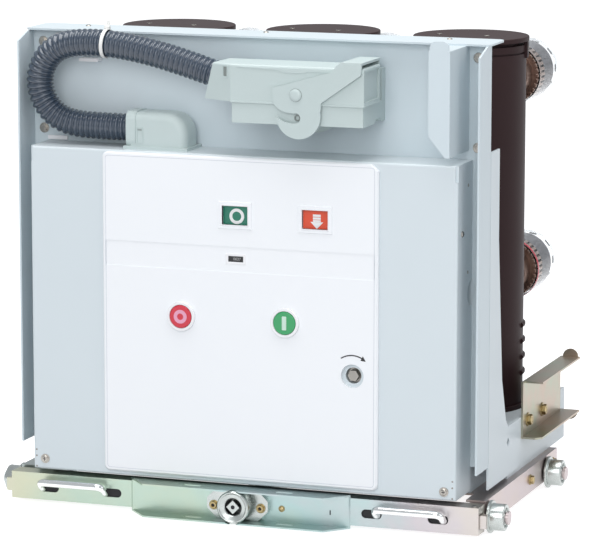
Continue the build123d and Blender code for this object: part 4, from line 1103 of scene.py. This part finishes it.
def addHoop(bm, place, radius, height, wire, segments=64, around=8):
    angles = [2 * pi * i / around for i in range(around + 1)]
    addLathe(bm, [(radius + wire * cos(a), height + wire * sin(a)) for a in angles], place, segments)


def spokes(place, count, radius, height, phase=0.0):
    # places on a circle about the axis, each with local X pointing outward
    for i in range(count):
        turn = Matrix.Rotation(2 * pi * (i + phase) / count, 4, "Z")
        yield place @ turn @ Matrix.Translation((radius, 0, height))


def makeContacts():
    bands, bars, rims, vents = (bmesh.new() for _ in range(4))
    half = (contact["barsTo"] - contact["barsFrom"]) / 2
    barMiddle = (contact["barsFrom"] + contact["barsTo"]) / 2
    tilt = Matrix.Rotation(radians(contact["ventTilt"]), 4, "Y")
    for x in polePlaces:
        for z in contactHeights:
            place = aim((x, poleAxisY, z), rearward)
            addRing(bands, place, *contact["bandRadii"], contact["bandFrom"], contact["bandTo"], 64)
            for height in contact["springAt"]:
                addHoop(bands, place, contact["bandRadii"][0], height, contact["springRadius"])
            for seat in spokes(place, contact["barCount"], contact["barRadius"], barMiddle):
                addPrism(bars, boxOutline(*contact["barSize"], 0.0008, 2), seat, -half, half, 0.0004, 1)
            for radius, height in zip(contact["rimRadii"], contact["rimAt"]):
                addHoop(rims, place, radius, height, contact["rimWire"])
            for seat in spokes(place, contact["ventCount"], contact["ventRadius"], contact["ventAt"], 0.5):
                outline = boxOutline(*contact["ventSize"], 0.0014, 3)
                addPrism(vents, outline, seat @ tilt, -0.0005, 0.0005, 0.0002, 1)
    finishMesh(bands, "contactBands", "springGrey")
    finishMesh(bars, "contactFingers", "contactCopper")
    finishMesh(rims, "coverRims", "rimClear")
    finishMesh(vents, "coverVents", "rimShade")


makeContacts()

# Clamp lugs at the pole collars, with their slots drawn as flat near-black marks of painted shade, and the red
# strip under each lower contact cover.
poleRadius = 0.074
lug = {"angle": 8.0, "size": (0.013, 0.024), "middle": 0.594, "reach": 0.0032, "slot": (0.0028, 0.0052)}
strip = {"radii": (0.0426, 0.0432), "reach": (0.1935, 0.1985)}


def makePoleDetail():
    lugs, slots = bmesh.new(), bmesh.new()
    reach = lug["reach"]
    for x in polePlaces:
        for angle in (lug["angle"], 180 - lug["angle"]):
            turn = radians(angle)
            origin = (x + poleRadius * cos(turn), poleAxisY + poleRadius * sin(turn), lug["middle"])
            place = aim(origin, (cos(turn), sin(turn), 0))
            addPrism(lugs, boxOutline(*lug["size"], 0.002, 3), place, -0.0020, reach, 0.0006, 2)
            for dz in (-0.006, 0.006):
                seat = place @ Matrix.Translation((0, dz, 0))
                addPrism(slots, boxOutline(*lug["slot"], 0.0009, 2), seat, reach - 0.0002, reach + 0.0001)
    finishMesh(lugs, "collarLugs", "poleEpoxy")
    finishMesh(slots, "collarLugSlotShades", "darkRecess")
    strips = bmesh.new()
    for x in polePlaces:
        place = aim((x, poleAxisY, contactHeights[0]), rearward)
        addRing(strips, place, *strip["radii"], *strip["reach"], 64)
    finishMesh(strips, "coverStrips", "tripRed")


makePoleDetail()
print("wheels, contacts and poles")

# Stage: pale floor, soft sky and three large lamps.
stage = {
    "floorHalf": 14.0,
    "floorColour": (0.50, 0.50, 0.51),
    "floorGlow": 0.8,
    "skyColour": (0.93, 0.965, 1.0),
    "skyLevel": 0.62,
    "seenLevel": 1.0,
    "target": (0, 0, 0.3),
    "lamps": [
        {"name": "keyLamp", "place": (0.6, -4.2, 2.0), "size": 2.6, "power": 72.0},
        {"name": "topLamp", "place": (0.0, -0.3, 3.4), "size": 2.6, "power": 84.0},
        {"name": "sideLamp", "place": (3.6, -0.6, 1.8), "size": 2.0, "power": 15.0},
    ],
}


def makeStage():
    scene = bpy.context.scene
    scene.view_settings.view_transform = "Standard"
    half = stage["floorHalf"]
    bm = bmesh.new()
    corners = ((-half, -half), (half, -half), (half, half), (-half, half))
    bm.faces.new([bm.verts.new((x, y, 0.0)) for x, y in corners])
    mesh = bpy.data.meshes.new("floor")
    bm.to_mesh(mesh)
    bm.free()
    floor = addObject("floor", mesh)
    material, tree, shader = newMaterial("floorPaper")
    shader.inputs["Roughness"].default_value = 0.9
    shader.inputs["Base Color"].default_value = (*stage["floorColour"], 1.0)
    light = tree.nodes.new("ShaderNodeLightPath")
    seen = mathNode(tree, "MAXIMUM", light.outputs["Is Camera Ray"], light.outputs["Is Glossy Ray"])
    seen = mathNode(tree, "MAXIMUM", seen, light.outputs["Is Transmission Ray"])
    glow = tree.nodes.new("ShaderNodeEmission")
    glow.inputs["Color"].default_value = (1.0, 1.0, 1.0, 1.0)
    tree.links.new(mathNode(tree, "MULTIPLY", seen, stage["floorGlow"]), glow.inputs["Strength"])
    both = tree.nodes.new("ShaderNodeAddShader")
    tree.links.new(shader.outputs[0], both.inputs[0])
    tree.links.new(glow.outputs[0], both.inputs[1])
    tree.links.new(both.outputs[0], tree.nodes["Material Output"].inputs["Surface"])
    mesh.materials.append(material)
    world = bpy.data.worlds.new("sky")
    scene.world = world
    world.use_nodes = True
    tree = world.node_tree
    sky = tree.nodes["Background"]
    sky.inputs["Color"].default_value = (*stage["skyColour"], 1.0)
    light = tree.nodes.new("ShaderNodeLightPath")
    seen = mathNode(tree, "MAXIMUM", light.outputs["Is Camera Ray"], light.outputs["Is Transmission Ray"])
    level = mathNode(tree, "MULTIPLY", seen, stage["seenLevel"] - stage["skyLevel"])
    tree.links.new(mathNode(tree, "ADD", level, stage["skyLevel"]), sky.inputs["Strength"])
    for lamp in stage["lamps"]:
        data = bpy.data.lights.new(lamp["name"], "AREA")
        data.shape = "SQUARE"
        data.size = lamp["size"]
        data.energy = lamp["power"]
        holder = addObject(lamp["name"], data)
        holder.matrix_world = aim(lamp["place"], Vector(lamp["place"]) - Vector(stage["target"]))


makeStage()
print("stage set")
